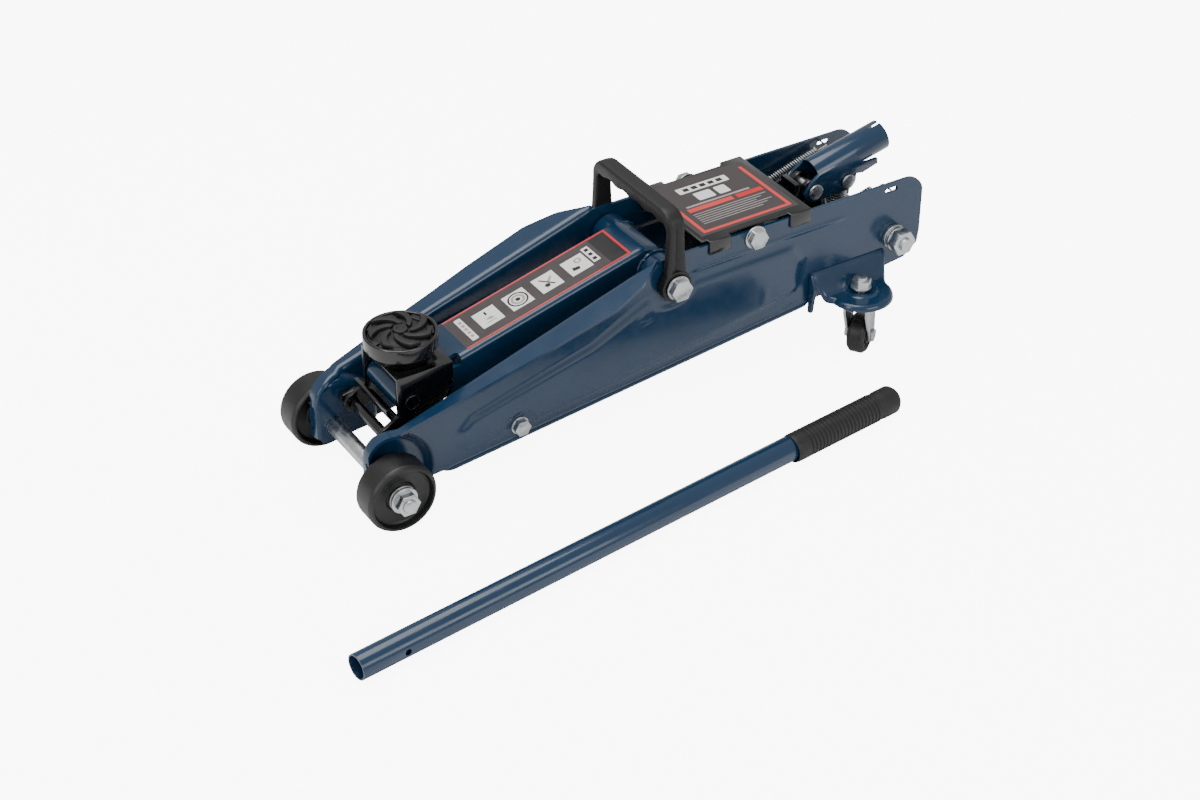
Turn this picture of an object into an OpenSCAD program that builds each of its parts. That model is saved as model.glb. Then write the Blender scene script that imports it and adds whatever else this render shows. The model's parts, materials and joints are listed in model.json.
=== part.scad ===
// Hydraulic floor jack with a loose pump handle lying beside it.
// The jack faces -X: front wheels and saddle at -X, handle socket and casters at +X.
// Sizes in mm. All heights are above the floor, with the lift arm lowered.

/* [Frame] */
// Distance from the front axle to the lift arm's main shaft
pivot_x = 287; // [250:340]
// Height of the main shaft
pivot_z = 135; // [130:160]
// Clear width between the side plates
plate_gap = 102; // [98:124]
// Thickness of the side plates
plate_t = 3; // [2.5:0.1:4]
// Clear width between the pressed-in noses at the front axle
nose_gap = 86; // [84:92]
// Height of the side plates' rear top edge
plate_top = 161.5; // [160:196]
// Length of the side plates behind the socket pin
tail_len = 95; // [88:130]
// How far the top flange stands out at its widest
flange_w = 26; // [14:30]
// How far the lower lip stands out
lip_w = 3; // [2:8]

/* [Front wheels] */
// Radius of a front wheel
wheel_r = 32.5; // [29:35]
// Width of a front wheel
wheel_w = 28; // [22:34]
// Radius of the front axle
axle_r = 6; // [5:0.5:7]
// Outer radius of the zinc sleeve on the axle
sleeve_r = 7.5; // [7.2:0.1:10]

/* [Lift arm] */
// Horizontal distance from the main shaft to the yoke pin, arm lowered
arm_reach = 247; // [206:260]
// Drop from the main shaft to the yoke pin, arm lowered
arm_drop = 49; // [41:56]
// Width of the lift arm over its walls
arm_w = 55; // [46:58]
// Wall thickness of the lift arm
arm_t = 4; // [3:0.5:5]
// Radius of the main shaft
shaft_r = 10; // [8:0.5:11]
// Outer radius of the arm's pivot tube
hub_r = 17; // [15:0.5:20]
// Radius from the main shaft to the ram pin
lug_r = 45; // [42:46]
// Lift angle of the arm
lift_deg = 60; // [50:60]

/* [Saddle] */
// Radius of the saddle cup
saddle_r = 32.5; // [27:38]
// Height of the saddle cup's rim
saddle_z = 138; // [136:146]
// Offset of the saddle behind the yoke pin
saddle_dx = 8; // [0:12]
// Thickness of the yoke's walls
yoke_t = 4; // [3:0.5:5]
// Radius of the saddle's stem
stem_r = 10; // [8:12]

/* [Power unit] */
// Radius of the ram
ram_r = 11; // [9:0.5:12]
// Inner radius of the pressure tube
bore_r = 14; // [13:0.5:16]
// Outer radius of the reservoir
tank_r = 30; // [26:36]
// Distance from the main shaft to the front head
head_dx = 69; // [69:84]
// Distance from the main shaft to the socket pin
socket_dx = 183; // [180:219]
// Radius of the pump plunger
plunger_r = 6; // [5:0.5:8]

/* [Handle socket] */
// Inner radius of the handle socket
socket_bore_r = 12; // [11.6:0.1:15]
// Wall thickness of the handle socket
socket_t = 2.2; // [1.8:0.1:3]
// Resting slope of the handle socket
socket_deg = 13; // [8:20]
// Distance from the socket pin to the mouth
socket_len = 88; // [76:106]
// Distance between the socket pin and the roller pin
roller_dx = 37; // [34:40]

/* [Casters] */
// Radius of a caster wheel
caster_r = 19; // [16:22]
// Width of a caster wheel
caster_w = 17; // [14:20]
// Distance of a kingpin outside its side plate
king_out = 20; // [18:30]
// Trail of a caster wheel behind its kingpin
caster_trail = 8; // [6:12]
// Radius of the rounded ear on the caster bracket
ear_r = 30; // [25:34]

/* [Carry handle] */
// Height of the carry handle above the main shaft
carry_h = 73; // [70:88]
// Thickness of the carry handle's legs
carry_t = 10; // [8:12]

/* [Pump handle] */
// Radius of the pump handle's tube
tube_r = 11.5; // [9.6:0.1:11.6]
// Wall of the pump handle's tube
tube_t = 1.5; // [1.2:0.1:2.5]
// Whole length of the pump handle
handle_len = 583; // [486:700]
// Length of the rubber grip
grip_len = 126; // [105:151]
// Radius of the rubber grip
grip_r = 13.5; // [12.5:0.1:16]
// Yaw of the pump handle on the floor
handle_yaw = 6.6; // [0:12]

/* [Hidden] */
$fn = 48;
run_fit = 0.06;          // radial clearance of a turning or sliding fit
seat_fit = 0.05;         // clearance where one fixed piece seats on another
side_gap = 0.8;          // gap between a moving piece and its neighbour
blue = [0.11, 0.22, 0.32];
black = [0.07, 0.07, 0.075];
zinc = [0.75, 0.77, 0.78];
steel = [0.55, 0.56, 0.58];

// frame
web_in = plate_gap / 2;
web_out = web_in + plate_t;
nose_in = nose_gap / 2;
nose_out = nose_in + plate_t;
axle_z = wheel_r;
socket_x = pivot_x + socket_dx;
rear_x = socket_x + tail_len;
nose_x = -14;
nose_top = axle_z + 47.5;
nose_round = 22;
joggle_r = wheel_r + 9;
kink_x = pivot_x - 15;
slope = atan((plate_top - nose_top - 2) / (kink_x - 12));
rear_round = 20;
rear_low = 72;
front_low = 13;
foot_x = rear_x - 17;
cross_x = 131;
cross_z = 41;
cross_r = 4;
cross_sleeve_r = 7;

// front wheel stack, from the middle outwards
core_r = 10.5;
hub_in = nose_out + 4;
tread_in = hub_in + 8;
tread_out = tread_in + wheel_w;
hub_out = tread_out - 5.5;
collar_out = tread_out + 1;
axle_nut_t = 8.5;
axle_end = collar_out + axle_nut_t + 2;

// lift arm
yoke_pin = [pivot_x - arm_reach, pivot_z - arm_drop];
arm_len = norm([arm_reach, arm_drop]);
arm_slope = atan(arm_drop / arm_reach);
arm_half = arm_w / 2;
boss_r = 13;
pin_r = 7;
hub_half = web_in - 2;
lug_deg = lift_deg / 2;
ram_pin = [pivot_x + lug_r * sin(lug_deg), pivot_z - lug_r * cos(lug_deg)];
ram_travel = 2 * lug_r * sin(lug_deg);
ram_z = (ram_pin[1] + pivot_z - lug_r) / 2;
lug_pin_r = 7;
lug_end_r = 13;
cap_front = 46;          // where the arm's top plate begins behind the yoke pin
label_t = 0.4;

// parallel links
link_off = [-26, -27];
link_front = yoke_pin + link_off;
link_rear = [pivot_x, pivot_z] + link_off;
link_pin_r = 5;
link_half = 8;
link_t = 5;
link_y = nose_in - 1.5 - link_t;

// saddle and yoke
yoke_in = arm_half + side_gap;
yoke_out = yoke_in + yoke_t;
saddle_x = yoke_pin[0] + saddle_dx;
yoke_top = saddle_z - 24.5;
cup_floor = yoke_top + 10.5;

// power unit
head_x = pivot_x + head_dx;
head_bolt_x = head_x + 20;
head_bolt_z = plate_top - 9.5;
head_len = 32;
wall_x = head_x + 16;            // face that the piston stops at
bush_r = 8;
tube_out_r = bore_r + 5;
block_x = socket_x - 25;
block_end = socket_x + roller_dx + 15;
block_low = ram_z - 23;
block_top = ram_z + 25;
block_half = 28;
ball_x = block_x + 25;
piston_x = wall_x + ram_travel + 3;
piston_len = 14;
cross_x0 = ram_pin[0] - 13.5;
cross_x1 = ram_pin[0] + 16.5;
cross_half = 20;
bar_x = ram_pin[0] + 25.5;
bar_z = ram_z + 7;
bar_r = 4;
bar_half = web_in - 4;
gland_x = head_x - 11;

// pump
pin_z = pivot_z + 15;            // height of the socket pin
socket_pin_r = 5;
roller_x = socket_x + roller_dx;
roller_r = 8;
roller_pin_r = 4;
roller_gap = 1;
head_top = pin_z - roller_r - roller_gap;
head_low = head_top - 4;
plunger_low = block_top - 28;
gland_top = block_top + 4;
spring_r = 10;
wire = 1.8;

// handle socket, in its own sloping frame with the socket pin at the origin
socket_out_r = socket_bore_r + socket_t;
axis_up = 8;                     // bore axis above the socket pin
tube_start = roller_dx + roller_r + 1;
cheek_in = socket_out_r - socket_t;
cheek_out = socket_out_r + 1.2;
bracket_half = cheek_in - side_gap;
plunger_head_r = cheek_in - 1;

// release valve
valve_y = 16;
valve_z = ram_z - 7;
valve_r = 5;
valve_end = rear_x - 13;

// rear tie rod
tie_x = rear_x - 32;
tie_z = pivot_z - 32;
tie_r = 7;
tie_end_r = 6;
tie_collar = 9;
tie_nut_t = 10;

// return springs
spring_y = web_in - 8;
hook_x = rear_x - 41;
hook_z = plate_top - 6;
coil_r = 5.5;

// casters
king_x = socket_x + 14;
caster_y = web_out + king_out;
king_washer_r = 9.5;
gusset_out = king_out - king_washer_r - 1.5;
ear_top = 2 * caster_r + 34;
ear_t = 4;
fork_t = 3;
fork_top = ear_top - ear_t - 7.3 - fork_t;
cheek_t = 2.5;
king_r = 5;
fork_in = caster_w / 2 + side_gap;
caster_axle_r = 4;
yaw_left = 35;
yaw_right = -12;
bracket_x = king_x - 46;
bracket_end = king_x + 40;

// cover
cover_x = pivot_x + 33;
cover_len = 116;
cover_t = 2;
tab_w = 23;
tab_drop = 12;

// carry handle
carry_in = web_out + 0.5;
shoulder_r = 8;
eye_r = 15;
bar_w = 17;

// pump handle on the floor
handle_start = [-122, -230];
tube_len = handle_len - grip_len;
tilt = asin((grip_r - tube_r) / tube_len);
hole_x = 42;

// the origin is the middle of the whole footprint, on the floor
min_x = min(handle_start[0] - tube_r * sin(handle_yaw), nose_x);
min_y = handle_start[1] - tube_r * cos(handle_yaw);
max_y = max(caster_y + ear_r, axle_end);
mid = [(min_x + rear_x) / 2, (min_y + max_y) / 2, 0];

// ---------- helpers ----------

// puts a piece of the jack in the part's own frame
module jack() translate(-mid) children();

// rod along Y between two places
module rod_y(r, y0, y1, x, z)
    translate([x, y1, z]) rotate([90, 0, 0]) cylinder(r = r, h = y1 - y0);

// rod along X between two places
module rod_x(r, x0, x1, y, z)
    translate([x0, y, z]) rotate([0, 90, 0]) cylinder(r = r, h = x1 - x0);

// side outline of x and z points, drawn out from y0 to y1
module slab_y(y0, y1, outline)
    translate([0, y1, 0]) rotate([90, 0, 0]) linear_extrude(y1 - y0) polygon(outline);

// block between two corners
module block(low, high) translate(low) cube(high - low);

// hexagon along Y, given its size across the flats
module hex_y(flats, y0, y1, x, z)
    translate([x, y1, z]) rotate([90, 0, 0]) cylinder(d = flats / cos(30), h = y1 - y0, $fn = 6);

// both sides of the jack
module both_sides() {
    children();
    mirror([0, 1, 0]) children();
}

// points of an arc from one angle to another
function arc(c, r, a0, a1, n) =
    [for (i = [0 : n]) c + r * [cos(a0 + (a1 - a0) * i / n), sin(a0 + (a1 - a0) * i / n)]];

// ---------- frame ----------

plate_outline = concat(
    [[nose_x + 3, front_low], [6, front_low + 1], [foot_x, rear_low], [rear_x - 2, rear_low + 12],
     [rear_x, rear_low + 28]],
    arc([rear_x - rear_round, plate_top - rear_round], rear_round, 0, 90, 6),
    [[kink_x, plate_top], [14, nose_top + 2.5]],
    arc([nose_x + nose_round, nose_top - nose_round], nose_round, 90, 180, 8),
    [[nose_x, front_low + 6]]);

module plate_holes() {
    rod_y(axle_r + seat_fit, 0, web_out + 1, 0, axle_z);
    rod_y(cross_r + seat_fit, 0, web_out + 1, cross_x, cross_z);
    rod_y(5 + seat_fit, 0, web_out + 1, pivot_x, pivot_z);
    rod_y(link_pin_r, 0, web_out + 1, link_rear[0], link_rear[1]);
    rod_y(5 + seat_fit, 0, web_out + 1, head_bolt_x, head_bolt_z);
    rod_y(tie_end_r + seat_fit, 0, web_out + 1, tie_x, tie_z);
    for (dx = [-4, 4]) rod_y(2.6, 0, web_out + 1, hook_x + 4 + dx, hook_z - 3);
    block([hook_x, 0, hook_z - 5.6], [hook_x + 8, web_out + 1, hook_z - 0.4]);
}

module top_flange() {
    run = (kink_x + 4 - 12) / cos(slope);
    translate([12, 0, nose_top + 2]) rotate([0, -slope, 0]) translate([0, 0, -plate_t])
        linear_extrude(plate_t) polygon([[0, web_in + 0.5], [0, web_out + 8],
            [0.78 * run, web_out + flange_w], [run, web_out + 1], [run, web_in + 0.5]]);
}

module lower_lip() {
    lip_run = bracket_x - 66;
    lip_slope = atan((rear_low - front_low - 1) / (foot_x - 6));
    translate([60, 0, front_low + 1 + 54 * tan(lip_slope)]) rotate([0, -lip_slope, 0])
        translate([0, web_in + 0.5, 0]) cube([lip_run, plate_t - 0.5 + lip_w, 2.5]);
}

module side_plate() {
    difference() {
        union() {
            difference() {
                slab_y(web_in, web_out, plate_outline);
                rod_y(joggle_r, 0, web_out + 1, 0, axle_z);
            }
            intersection() {
                slab_y(nose_in, nose_out, plate_outline);
                rod_y(joggle_r + plate_t, 0, web_out, 0, axle_z);
            }
            intersection() {
                slab_y(nose_in, web_out, plate_outline);
                difference() {
                    rod_y(joggle_r + plate_t, 0, web_out, 0, axle_z);
                    rod_y(joggle_r, -1, web_out + 1, 0, axle_z);
                }
            }
            block([nose_x, nose_in, front_low + 6], [nose_x + plate_t, nose_out + 9, nose_top - 24]);
            top_flange();
            lower_lip();
        }
        plate_holes();
    }
}

module side_plate_right() { color(blue) jack() side_plate(); }

module side_plate_left() { color(blue) jack() mirror([0, 1, 0]) side_plate(); }

module axle_sleeve() {
    color(zinc) jack() difference() {
        rod_y(sleeve_r, -nose_in + seat_fit, nose_in - seat_fit, 0, axle_z);
        rod_y(axle_r + seat_fit, -nose_in, nose_in, 0, axle_z);
    }
}

module front_axle() { color(zinc) jack() rod_y(axle_r, -axle_end, axle_end, 0, axle_z); }

module axle_nuts() {
    color(zinc) jack() both_sides() difference() {
        hex_y(19, collar_out + seat_fit, collar_out + axle_nut_t, 0, axle_z);
        rod_y(axle_r + seat_fit, 0, axle_end, 0, axle_z);
    }
}

module axle_washers() {
    color(zinc) jack() both_sides() difference() {
        union() {
            rod_y(core_r, nose_out + seat_fit, hub_in - 0.2, 0, axle_z);
            rod_y(12.5, hub_out + 0.2, hub_out + 3, 0, axle_z);
            rod_y(10.5, hub_out + 3, collar_out - 1.8, 0, axle_z);
            rod_y(12.5, collar_out - 1.8, collar_out, 0, axle_z);
        }
        rod_y(axle_r + seat_fit, 0, axle_end, 0, axle_z);
    }
}

module cross_sleeve() {
    color(zinc) jack() difference() {
        rod_y(cross_sleeve_r, -web_in + seat_fit, web_in - seat_fit, cross_x, cross_z);
        rod_y(cross_r + seat_fit, -web_in, web_in, cross_x, cross_z);
    }
}

module cross_bolt() {
    color(zinc) jack() {
        rod_y(cross_r, -web_out - 8, web_out + 8, cross_x, cross_z);
        both_sides() {
            rod_y(8.5, web_out + seat_fit, web_out + 1.5, cross_x, cross_z);
            hex_y(14, web_out + 1.5, web_out + 7.5, cross_x, cross_z);
        }
    }
}

module main_shaft() {
    color(steel) jack() difference() {
        rod_y(shaft_r, -web_in + seat_fit, web_in - seat_fit, pivot_x, pivot_z);
        both_sides() rod_y(5 + seat_fit, web_in - 26, web_in, pivot_x, pivot_z);
    }
}

module main_bolts() {
    color(zinc) jack() both_sides() {
        rod_y(5, web_in - 22, web_out + 1, pivot_x, pivot_z);
        rod_y(shoulder_r, web_out + seat_fit, carry_in + carry_t + 0.4, pivot_x, pivot_z);
        rod_y(11.5, carry_in + carry_t + 0.4, carry_in + carry_t + 2, pivot_x, pivot_z);
        hex_y(19, carry_in + carry_t + 2, carry_in + carry_t + 8.5, pivot_x, pivot_z);
    }
}

module link_pivots() {
    color(steel) jack() both_sides()
        rod_y(link_pin_r, link_y - 1.5, web_out, link_rear[0], link_rear[1]);
}

module cover_plate() {
    color(black) jack() difference() {
        union() {
            block([cover_x, -web_out + 3, plate_top + seat_fit],
                [cover_x + cover_len, web_out - 3, plate_top + seat_fit + cover_t]);
            both_sides() for (x = [cover_x + 6, cover_x + cover_len - tab_w]) {
                block([x, web_out - 4, plate_top + seat_fit],
                    [x + tab_w, web_out + 0.2 + cover_t, plate_top + seat_fit + cover_t]);
                block([x, web_out + 0.2, plate_top - tab_drop],
                    [x + tab_w, web_out + 0.2 + cover_t, plate_top + 1]);
            }
        }
    }
}

module cover_label() {
    z = plate_top + seat_fit + cover_t;
    color([0.33, 0.29, 0.29]) jack() block([cover_x + 5, -web_out + 9, z],
        [cover_x + cover_len - 6, web_out - 7, z + label_t]);
}

module tie_rod() {
    color(zinc) jack() {
        rod_y(tie_r, -web_in + seat_fit, web_in - seat_fit, tie_x, tie_z);
        rod_y(tie_end_r, -web_out - tie_collar - tie_nut_t - 3, web_out + tie_collar + tie_nut_t + 3,
            tie_x, tie_z);
    }
}

module tie_nuts() {
    color(zinc) jack() both_sides() difference() {
        hex_y(22, web_out + tie_collar + seat_fit, web_out + tie_collar + tie_nut_t, tie_x, tie_z);
        rod_y(tie_end_r + seat_fit, web_out, web_out + 40, tie_x, tie_z);
    }
}

module tie_collars() {
    color(zinc) jack() both_sides() difference() {
        union() {
            rod_y(12, web_out + seat_fit, web_out + 4, tie_x, tie_z);
            rod_y(10, web_out + 4, web_out + 6, tie_x, tie_z);
            rod_y(12, web_out + 6, web_out + tie_collar, tie_x, tie_z);
        }
        rod_y(tie_end_r + seat_fit, web_out - 1, web_out + 40, tie_x, tie_z);
    }
}

module caster_bracket() {
    difference() {
        union() {
            difference() {
                hull() {
                    translate([king_x, caster_y, ear_top - ear_t]) cylinder(r = ear_r, h = ear_t);
                    block([bracket_x, web_out + seat_fit, ear_top - ear_t],
                        [bracket_end, web_out + 2, ear_top]);
                }
                block([bracket_x - 1, 0, ear_top - 20], [bracket_end + 1, web_out + seat_fit, ear_top + 20]);
            }
            translate([king_x, caster_y, ear_top - 0.5]) cylinder(r = 15, h = 2);
            // sloping gusset and the upright front flange
            translate([bracket_x + 4, 0, 0]) rotate([90, 0, 90])
                linear_extrude(bracket_end - bracket_x - 12)
                polygon([[web_out + seat_fit, ear_top + 14], [web_out + seat_fit, ear_top + 20],
                    [web_out + gusset_out, ear_top - 1], [web_out + gusset_out - 3, ear_top - 1]]);
            block([bracket_x, web_out + seat_fit, ear_top - 22], [bracket_x + 4, web_out + 6, ear_top + 18]);
        }
        translate([king_x, caster_y, ear_top - 10]) cylinder(r = king_r + run_fit, h = 20);
    }
}

module caster_bracket_right() { color(blue) jack() caster_bracket(); }

module caster_bracket_left() { color(blue) jack() mirror([0, 1, 0]) caster_bracket(); }

// ---------- power unit ----------

module front_head() {
    color(black) jack() difference() {
        union() {
            block([head_x, -block_half, ram_z - 28], [head_x + head_len, block_half, ram_z + 28]);
            block([head_bolt_x - 7, -16, ram_z + 20], [head_bolt_x + 7, 16, head_bolt_z]);
            rod_y(bush_r, -web_in + seat_fit, web_in - seat_fit, head_bolt_x, head_bolt_z);
        }
        rod_x(ram_r + run_fit, head_x - 1, wall_x + 1, 0, ram_z);
        rod_x(ram_r + 4, head_x - 1, head_x + 5, 0, ram_z);
        rod_x(tube_out_r + seat_fit, wall_x, head_x + head_len + 1, 0, ram_z);
        both_sides() rod_y(5 + seat_fit, web_in - 24, web_in, head_bolt_x, head_bolt_z);
    }
}

module head_bolts() {
    color(zinc) jack() both_sides() {
        rod_y(5, web_in - 20, web_out + 1, head_bolt_x, head_bolt_z);
        rod_y(11, web_out + seat_fit, web_out + 1.8, head_bolt_x, head_bolt_z);
        hex_y(17, web_out + 1.8, web_out + 8, head_bolt_x, head_bolt_z);
    }
}

module reservoir_tube() {
    color(black) jack() difference() {
        rod_x(tank_r, head_x + head_len + seat_fit, block_x - seat_fit, 0, ram_z);
        rod_x(tank_r - 3, head_x, block_x + 1, 0, ram_z);
        translate([block_x - 30, 0, ram_z]) cylinder(r = 5 + seat_fit, h = tank_r + 5);
    }
}

module pressure_tube() {
    color(steel) jack() difference() {
        rod_x(tube_out_r, wall_x + seat_fit, block_x + 15 - seat_fit, 0, ram_z);
        rod_x(bore_r + run_fit, wall_x, block_x + 16, 0, ram_z);
    }
}

module gland_nut() {
    color(zinc) jack() difference() {
        translate([gland_x, 0, ram_z]) rotate([0, 90, 0])
            cylinder(r = 21, h = head_x - gland_x - seat_fit, $fn = 8);
        rod_x(ram_r + 0.3, gland_x - 1, head_x, 0, ram_z);
    }
}

module rod_seal() {
    color(black) jack() difference() {
        rod_x(ram_r + 4 - seat_fit, head_x + seat_fit, head_x + 5 - seat_fit, 0, ram_z);
        rod_x(ram_r + run_fit, head_x - 1, head_x + 6, 0, ram_z);
    }
}

module pump_block() {
    color(black) jack() difference() {
        block([block_x, -block_half, block_low], [block_end, block_half, block_top]);
        rod_x(tube_out_r + seat_fit, block_x - 1, block_x + 15, 0, ram_z);
        rod_x(3, block_x + 14, roller_x, 0, ram_z);
        translate([roller_x, 0, plunger_low - 14]) cylinder(r = plunger_r + run_fit, h = 60);
        translate([roller_x, 0, block_top - 6]) cylinder(r = plunger_r + 4 + seat_fit, h = 8);
        rod_x(valve_r + run_fit, block_end - 22, block_end + 1, valve_y, valve_z);
        rod_x(4 + seat_fit, block_end - 16, block_end + 1, -valve_y, valve_z);
        for (y = [-18, 18]) translate([ball_x, y, block_low + 10])
            cylinder(r = 4 + seat_fit, h = 24);
    }
}

module pump_bracket() {
    color(black) jack() difference() {
        union() {
            both_sides() slab_y(bracket_half - 5, bracket_half, concat(
                [[socket_x - 15, block_top + seat_fit], [socket_x + 13, block_top + seat_fit]],
                arc([socket_x, pin_z], 10, 0, 180, 10)));
            block([socket_x - 19, -bracket_half, block_top + seat_fit],
                [socket_x - 14, bracket_half, pin_z + 10]);
            block([socket_x - 19, -bracket_half, block_top + seat_fit],
                [socket_x + 13, bracket_half, block_top + 5]);
        }
        rod_y(socket_pin_r + seat_fit, -bracket_half - 1, bracket_half + 1, socket_x, pin_z);
    }
}

module socket_pin() {
    color(zinc) jack() {
        rod_y(socket_pin_r, -cheek_out - 0.4, cheek_out + 0.4, socket_x, pin_z);
        both_sides() rod_y(7.5, cheek_out + 0.4, cheek_out + 2.8, socket_x, pin_z);
    }
}

module plunger_gland() {
    color(zinc) jack() difference() {
        union() {
            translate([roller_x, 0, block_top - 6 + seat_fit])
                cylinder(r = plunger_r + 4, h = 6);
            translate([roller_x, 0, block_top + seat_fit])
                cylinder(d = 24, h = 4 - seat_fit, $fn = 6);
        }
        translate([roller_x, 0, block_top - 8]) cylinder(r = plunger_r + run_fit, h = 20);
    }
}

module filler_plug() {
    color(black) jack() translate([block_x - 30, 0, 0]) {
        translate([0, 0, ram_z + tank_r - 3]) cylinder(r = 5, h = 3.5);
        translate([0, 0, ram_z + tank_r + 0.3]) cylinder(r = 8, h = 4);
    }
}

module check_balls() {
    color(steel) jack() for (y = [-18, 18])
        translate([ball_x, y, block_low + 10 + 4]) sphere(r = 3.9);
}

module relief_screw() {
    color(zinc) jack() {
        rod_x(4, block_end - 14, block_end + 2, -valve_y, valve_z);
        translate([block_end + seat_fit, -valve_y, valve_z]) rotate([0, 90, 0])
            cylinder(d = 12, h = 4, $fn = 6);
    }
}

// extension springs from the crosshead's bar to the slots near the rear top corners
module return_springs() {
    run = [hook_x + 2 - bar_x, 0, hook_z - 3 - bar_z];
    rise = atan(run[2] / run[0]);
    len = norm(run);
    color(zinc) jack() both_sides() translate([bar_x, spring_y, bar_z]) rotate([0, -rise, 0]) {
        difference() {
            rod_y(bar_r + 2.4, -1, 1, 0, 0);
            rod_y(bar_r + 0.3, -2, 2, 0, 0);
        }
        difference() {
            rod_x(coil_r, len * 0.36, len - 14, 0, 0);
            rod_x(coil_r - wire, len * 0.36 - 1, len - 13, 0, 0);
        }
        // each end's wire crosses the coil and runs out along its middle
        for (x = [len * 0.36 + 1.2, len - 15.2]) rod_y(1, -coil_r + 0.5, coil_r - 0.5, x, 0);
        rod_x(0.9, bar_r + 1.5, len + 0.5, 0, 0);
        rod_y(0.9, -0.9, web_out - spring_y + 2, len, 0);
    }
}

module plunger_spring() {
    color(zinc) jack() translate([roller_x, 0, gland_top + 0.1]) difference() {
        cylinder(r = spring_r, h = head_low - gland_top - 0.2);
        translate([0, 0, -1]) cylinder(r = spring_r - wire, h = 60);
    }
}

// ---------- lift arm ----------

// arm walls: a long outline from the yoke boss to the main shaft
arm_walls = [[yoke_pin[0] - 6, yoke_pin[1] - 12], [yoke_pin[0] - 6, yoke_pin[1] + 12],
    [yoke_pin[0] + cap_front - 6, yoke_pin[1] + 18], [yoke_pin[0] + cap_front, yoke_pin[1] + 24],
    [pivot_x - 8, pivot_z + 24], [pivot_x + 10, pivot_z + 15],
    [ram_pin[0] + lug_end_r * cos(30), ram_pin[1] + lug_end_r * sin(30)],
    [ram_pin[0] - lug_end_r * cos(30), ram_pin[1] - lug_end_r * sin(30)],
    [pivot_x - 24, pivot_z - 16], [yoke_pin[0] + 24, yoke_pin[1] - 14]];

module lift_arm() {
    top = [[yoke_pin[0] + cap_front, yoke_pin[1] + 24 - arm_t],
        [yoke_pin[0] + cap_front, yoke_pin[1] + 24], [pivot_x - 8, pivot_z + 24],
        [pivot_x - 8, pivot_z + 24 - arm_t]];
    color(blue) jack() difference() {
        union() {
            both_sides() slab_y(arm_half - arm_t, arm_half, arm_walls);
            both_sides() rod_y(lug_end_r, arm_half - arm_t, arm_half, ram_pin[0], ram_pin[1]);
            slab_y(-arm_half, arm_half, top);
            rod_y(boss_r, -arm_half, arm_half, yoke_pin[0], yoke_pin[1]);
            rod_y(hub_r, -hub_half, hub_half, pivot_x, pivot_z);
        }
        rod_y(shaft_r + run_fit, -web_in, web_in, pivot_x, pivot_z);
        rod_y(pin_r + seat_fit, -web_in, web_in, yoke_pin[0], yoke_pin[1]);
        rod_y(lug_pin_r + seat_fit, -web_in, web_in, ram_pin[0], ram_pin[1]);
    }
}

module arm_label() {
    rise = atan((arm_drop) / (arm_reach - cap_front - 8));
    color([0.33, 0.29, 0.29]) jack()
        translate([yoke_pin[0] + cap_front, 0, yoke_pin[1] + 24]) rotate([0, -rise, 0])
        block([10, -arm_half + 5, 0.02], [arm_reach - cap_front - 16, arm_half - 5, label_t]);
}

module yoke_pivot_pin() {
    color(black) jack() rod_y(pin_r, -yoke_out - 0.4, yoke_out + 0.4, yoke_pin[0], yoke_pin[1]);
}

module ram_cross_pin() {
    color(steel) jack() {
        rod_y(lug_pin_r, -arm_half - 3, arm_half + 3, ram_pin[0], ram_pin[1]);
        both_sides() rod_y(9, arm_half + 0.3, arm_half + 2, ram_pin[0], ram_pin[1]);
    }
}

// ---------- parallel links, yoke and saddle ----------

module link_rods() {
    // strap outline: a rounded eye at each end and a straight waist between them
    along = [cos(arm_slope), sin(arm_slope)];
    across = [-sin(arm_slope), cos(arm_slope)];
    strap = concat(arc(link_front, link_half, arm_slope + 130, arm_slope + 230, 8),
        [link_front + 9 * along - 6 * across, link_rear - 9 * along - 6 * across],
        arc(link_rear, link_half, arm_slope - 50, arm_slope + 50, 8),
        [link_rear - 9 * along + 6 * across, link_front + 9 * along + 6 * across]);
    color(black) jack() both_sides() difference() {
        slab_y(link_y, link_y + link_t, strap);
        rod_y(link_pin_r + seat_fit, 0, web_in, link_front[0], link_front[1]);
        rod_y(link_pin_r + run_fit, 0, web_in, link_rear[0], link_rear[1]);
    }
}

module link_bar() {
    color(black) jack()
        rod_y(link_pin_r, -link_y - link_t, link_y + link_t, link_front[0], link_front[1]);
}

module saddle_yoke() {
    x0 = yoke_pin[0] - 14;
    x1 = yoke_pin[0] + 40;
    wall = [[x0, yoke_top], [x1, yoke_top], [x1, yoke_top - 20], [x1 - 20, yoke_pin[1] - 22],
        [link_front[0] + 3, link_front[1] - 9], [link_front[0] - 6, link_front[1] + 6],
        [x0, yoke_pin[1] - 10]];
    color(black) jack() difference() {
        union() {
            both_sides() slab_y(yoke_in, yoke_out, wall);
            both_sides() rod_y(9, yoke_in, yoke_out, link_front[0], link_front[1]);
            block([x0, -yoke_out, yoke_top - yoke_t], [x1, yoke_out, yoke_top]);
            // curved cross plate in front of and under the arm's boss
            slab_y(-yoke_in - 1, yoke_in + 1, concat(
                arc(yoke_pin, 21, 185, 250, 8), arc(yoke_pin, 24.5, 250, 185, 8)));
        }
        rod_y(pin_r + run_fit, -yoke_out - 1, yoke_out + 1, yoke_pin[0], yoke_pin[1]);
        rod_y(link_pin_r + run_fit, -yoke_out - 1, yoke_out + 1, link_front[0], link_front[1]);
        translate([saddle_x, 0, yoke_top - 10]) cylinder(r = stem_r + run_fit, h = 20);
    }
}

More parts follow.
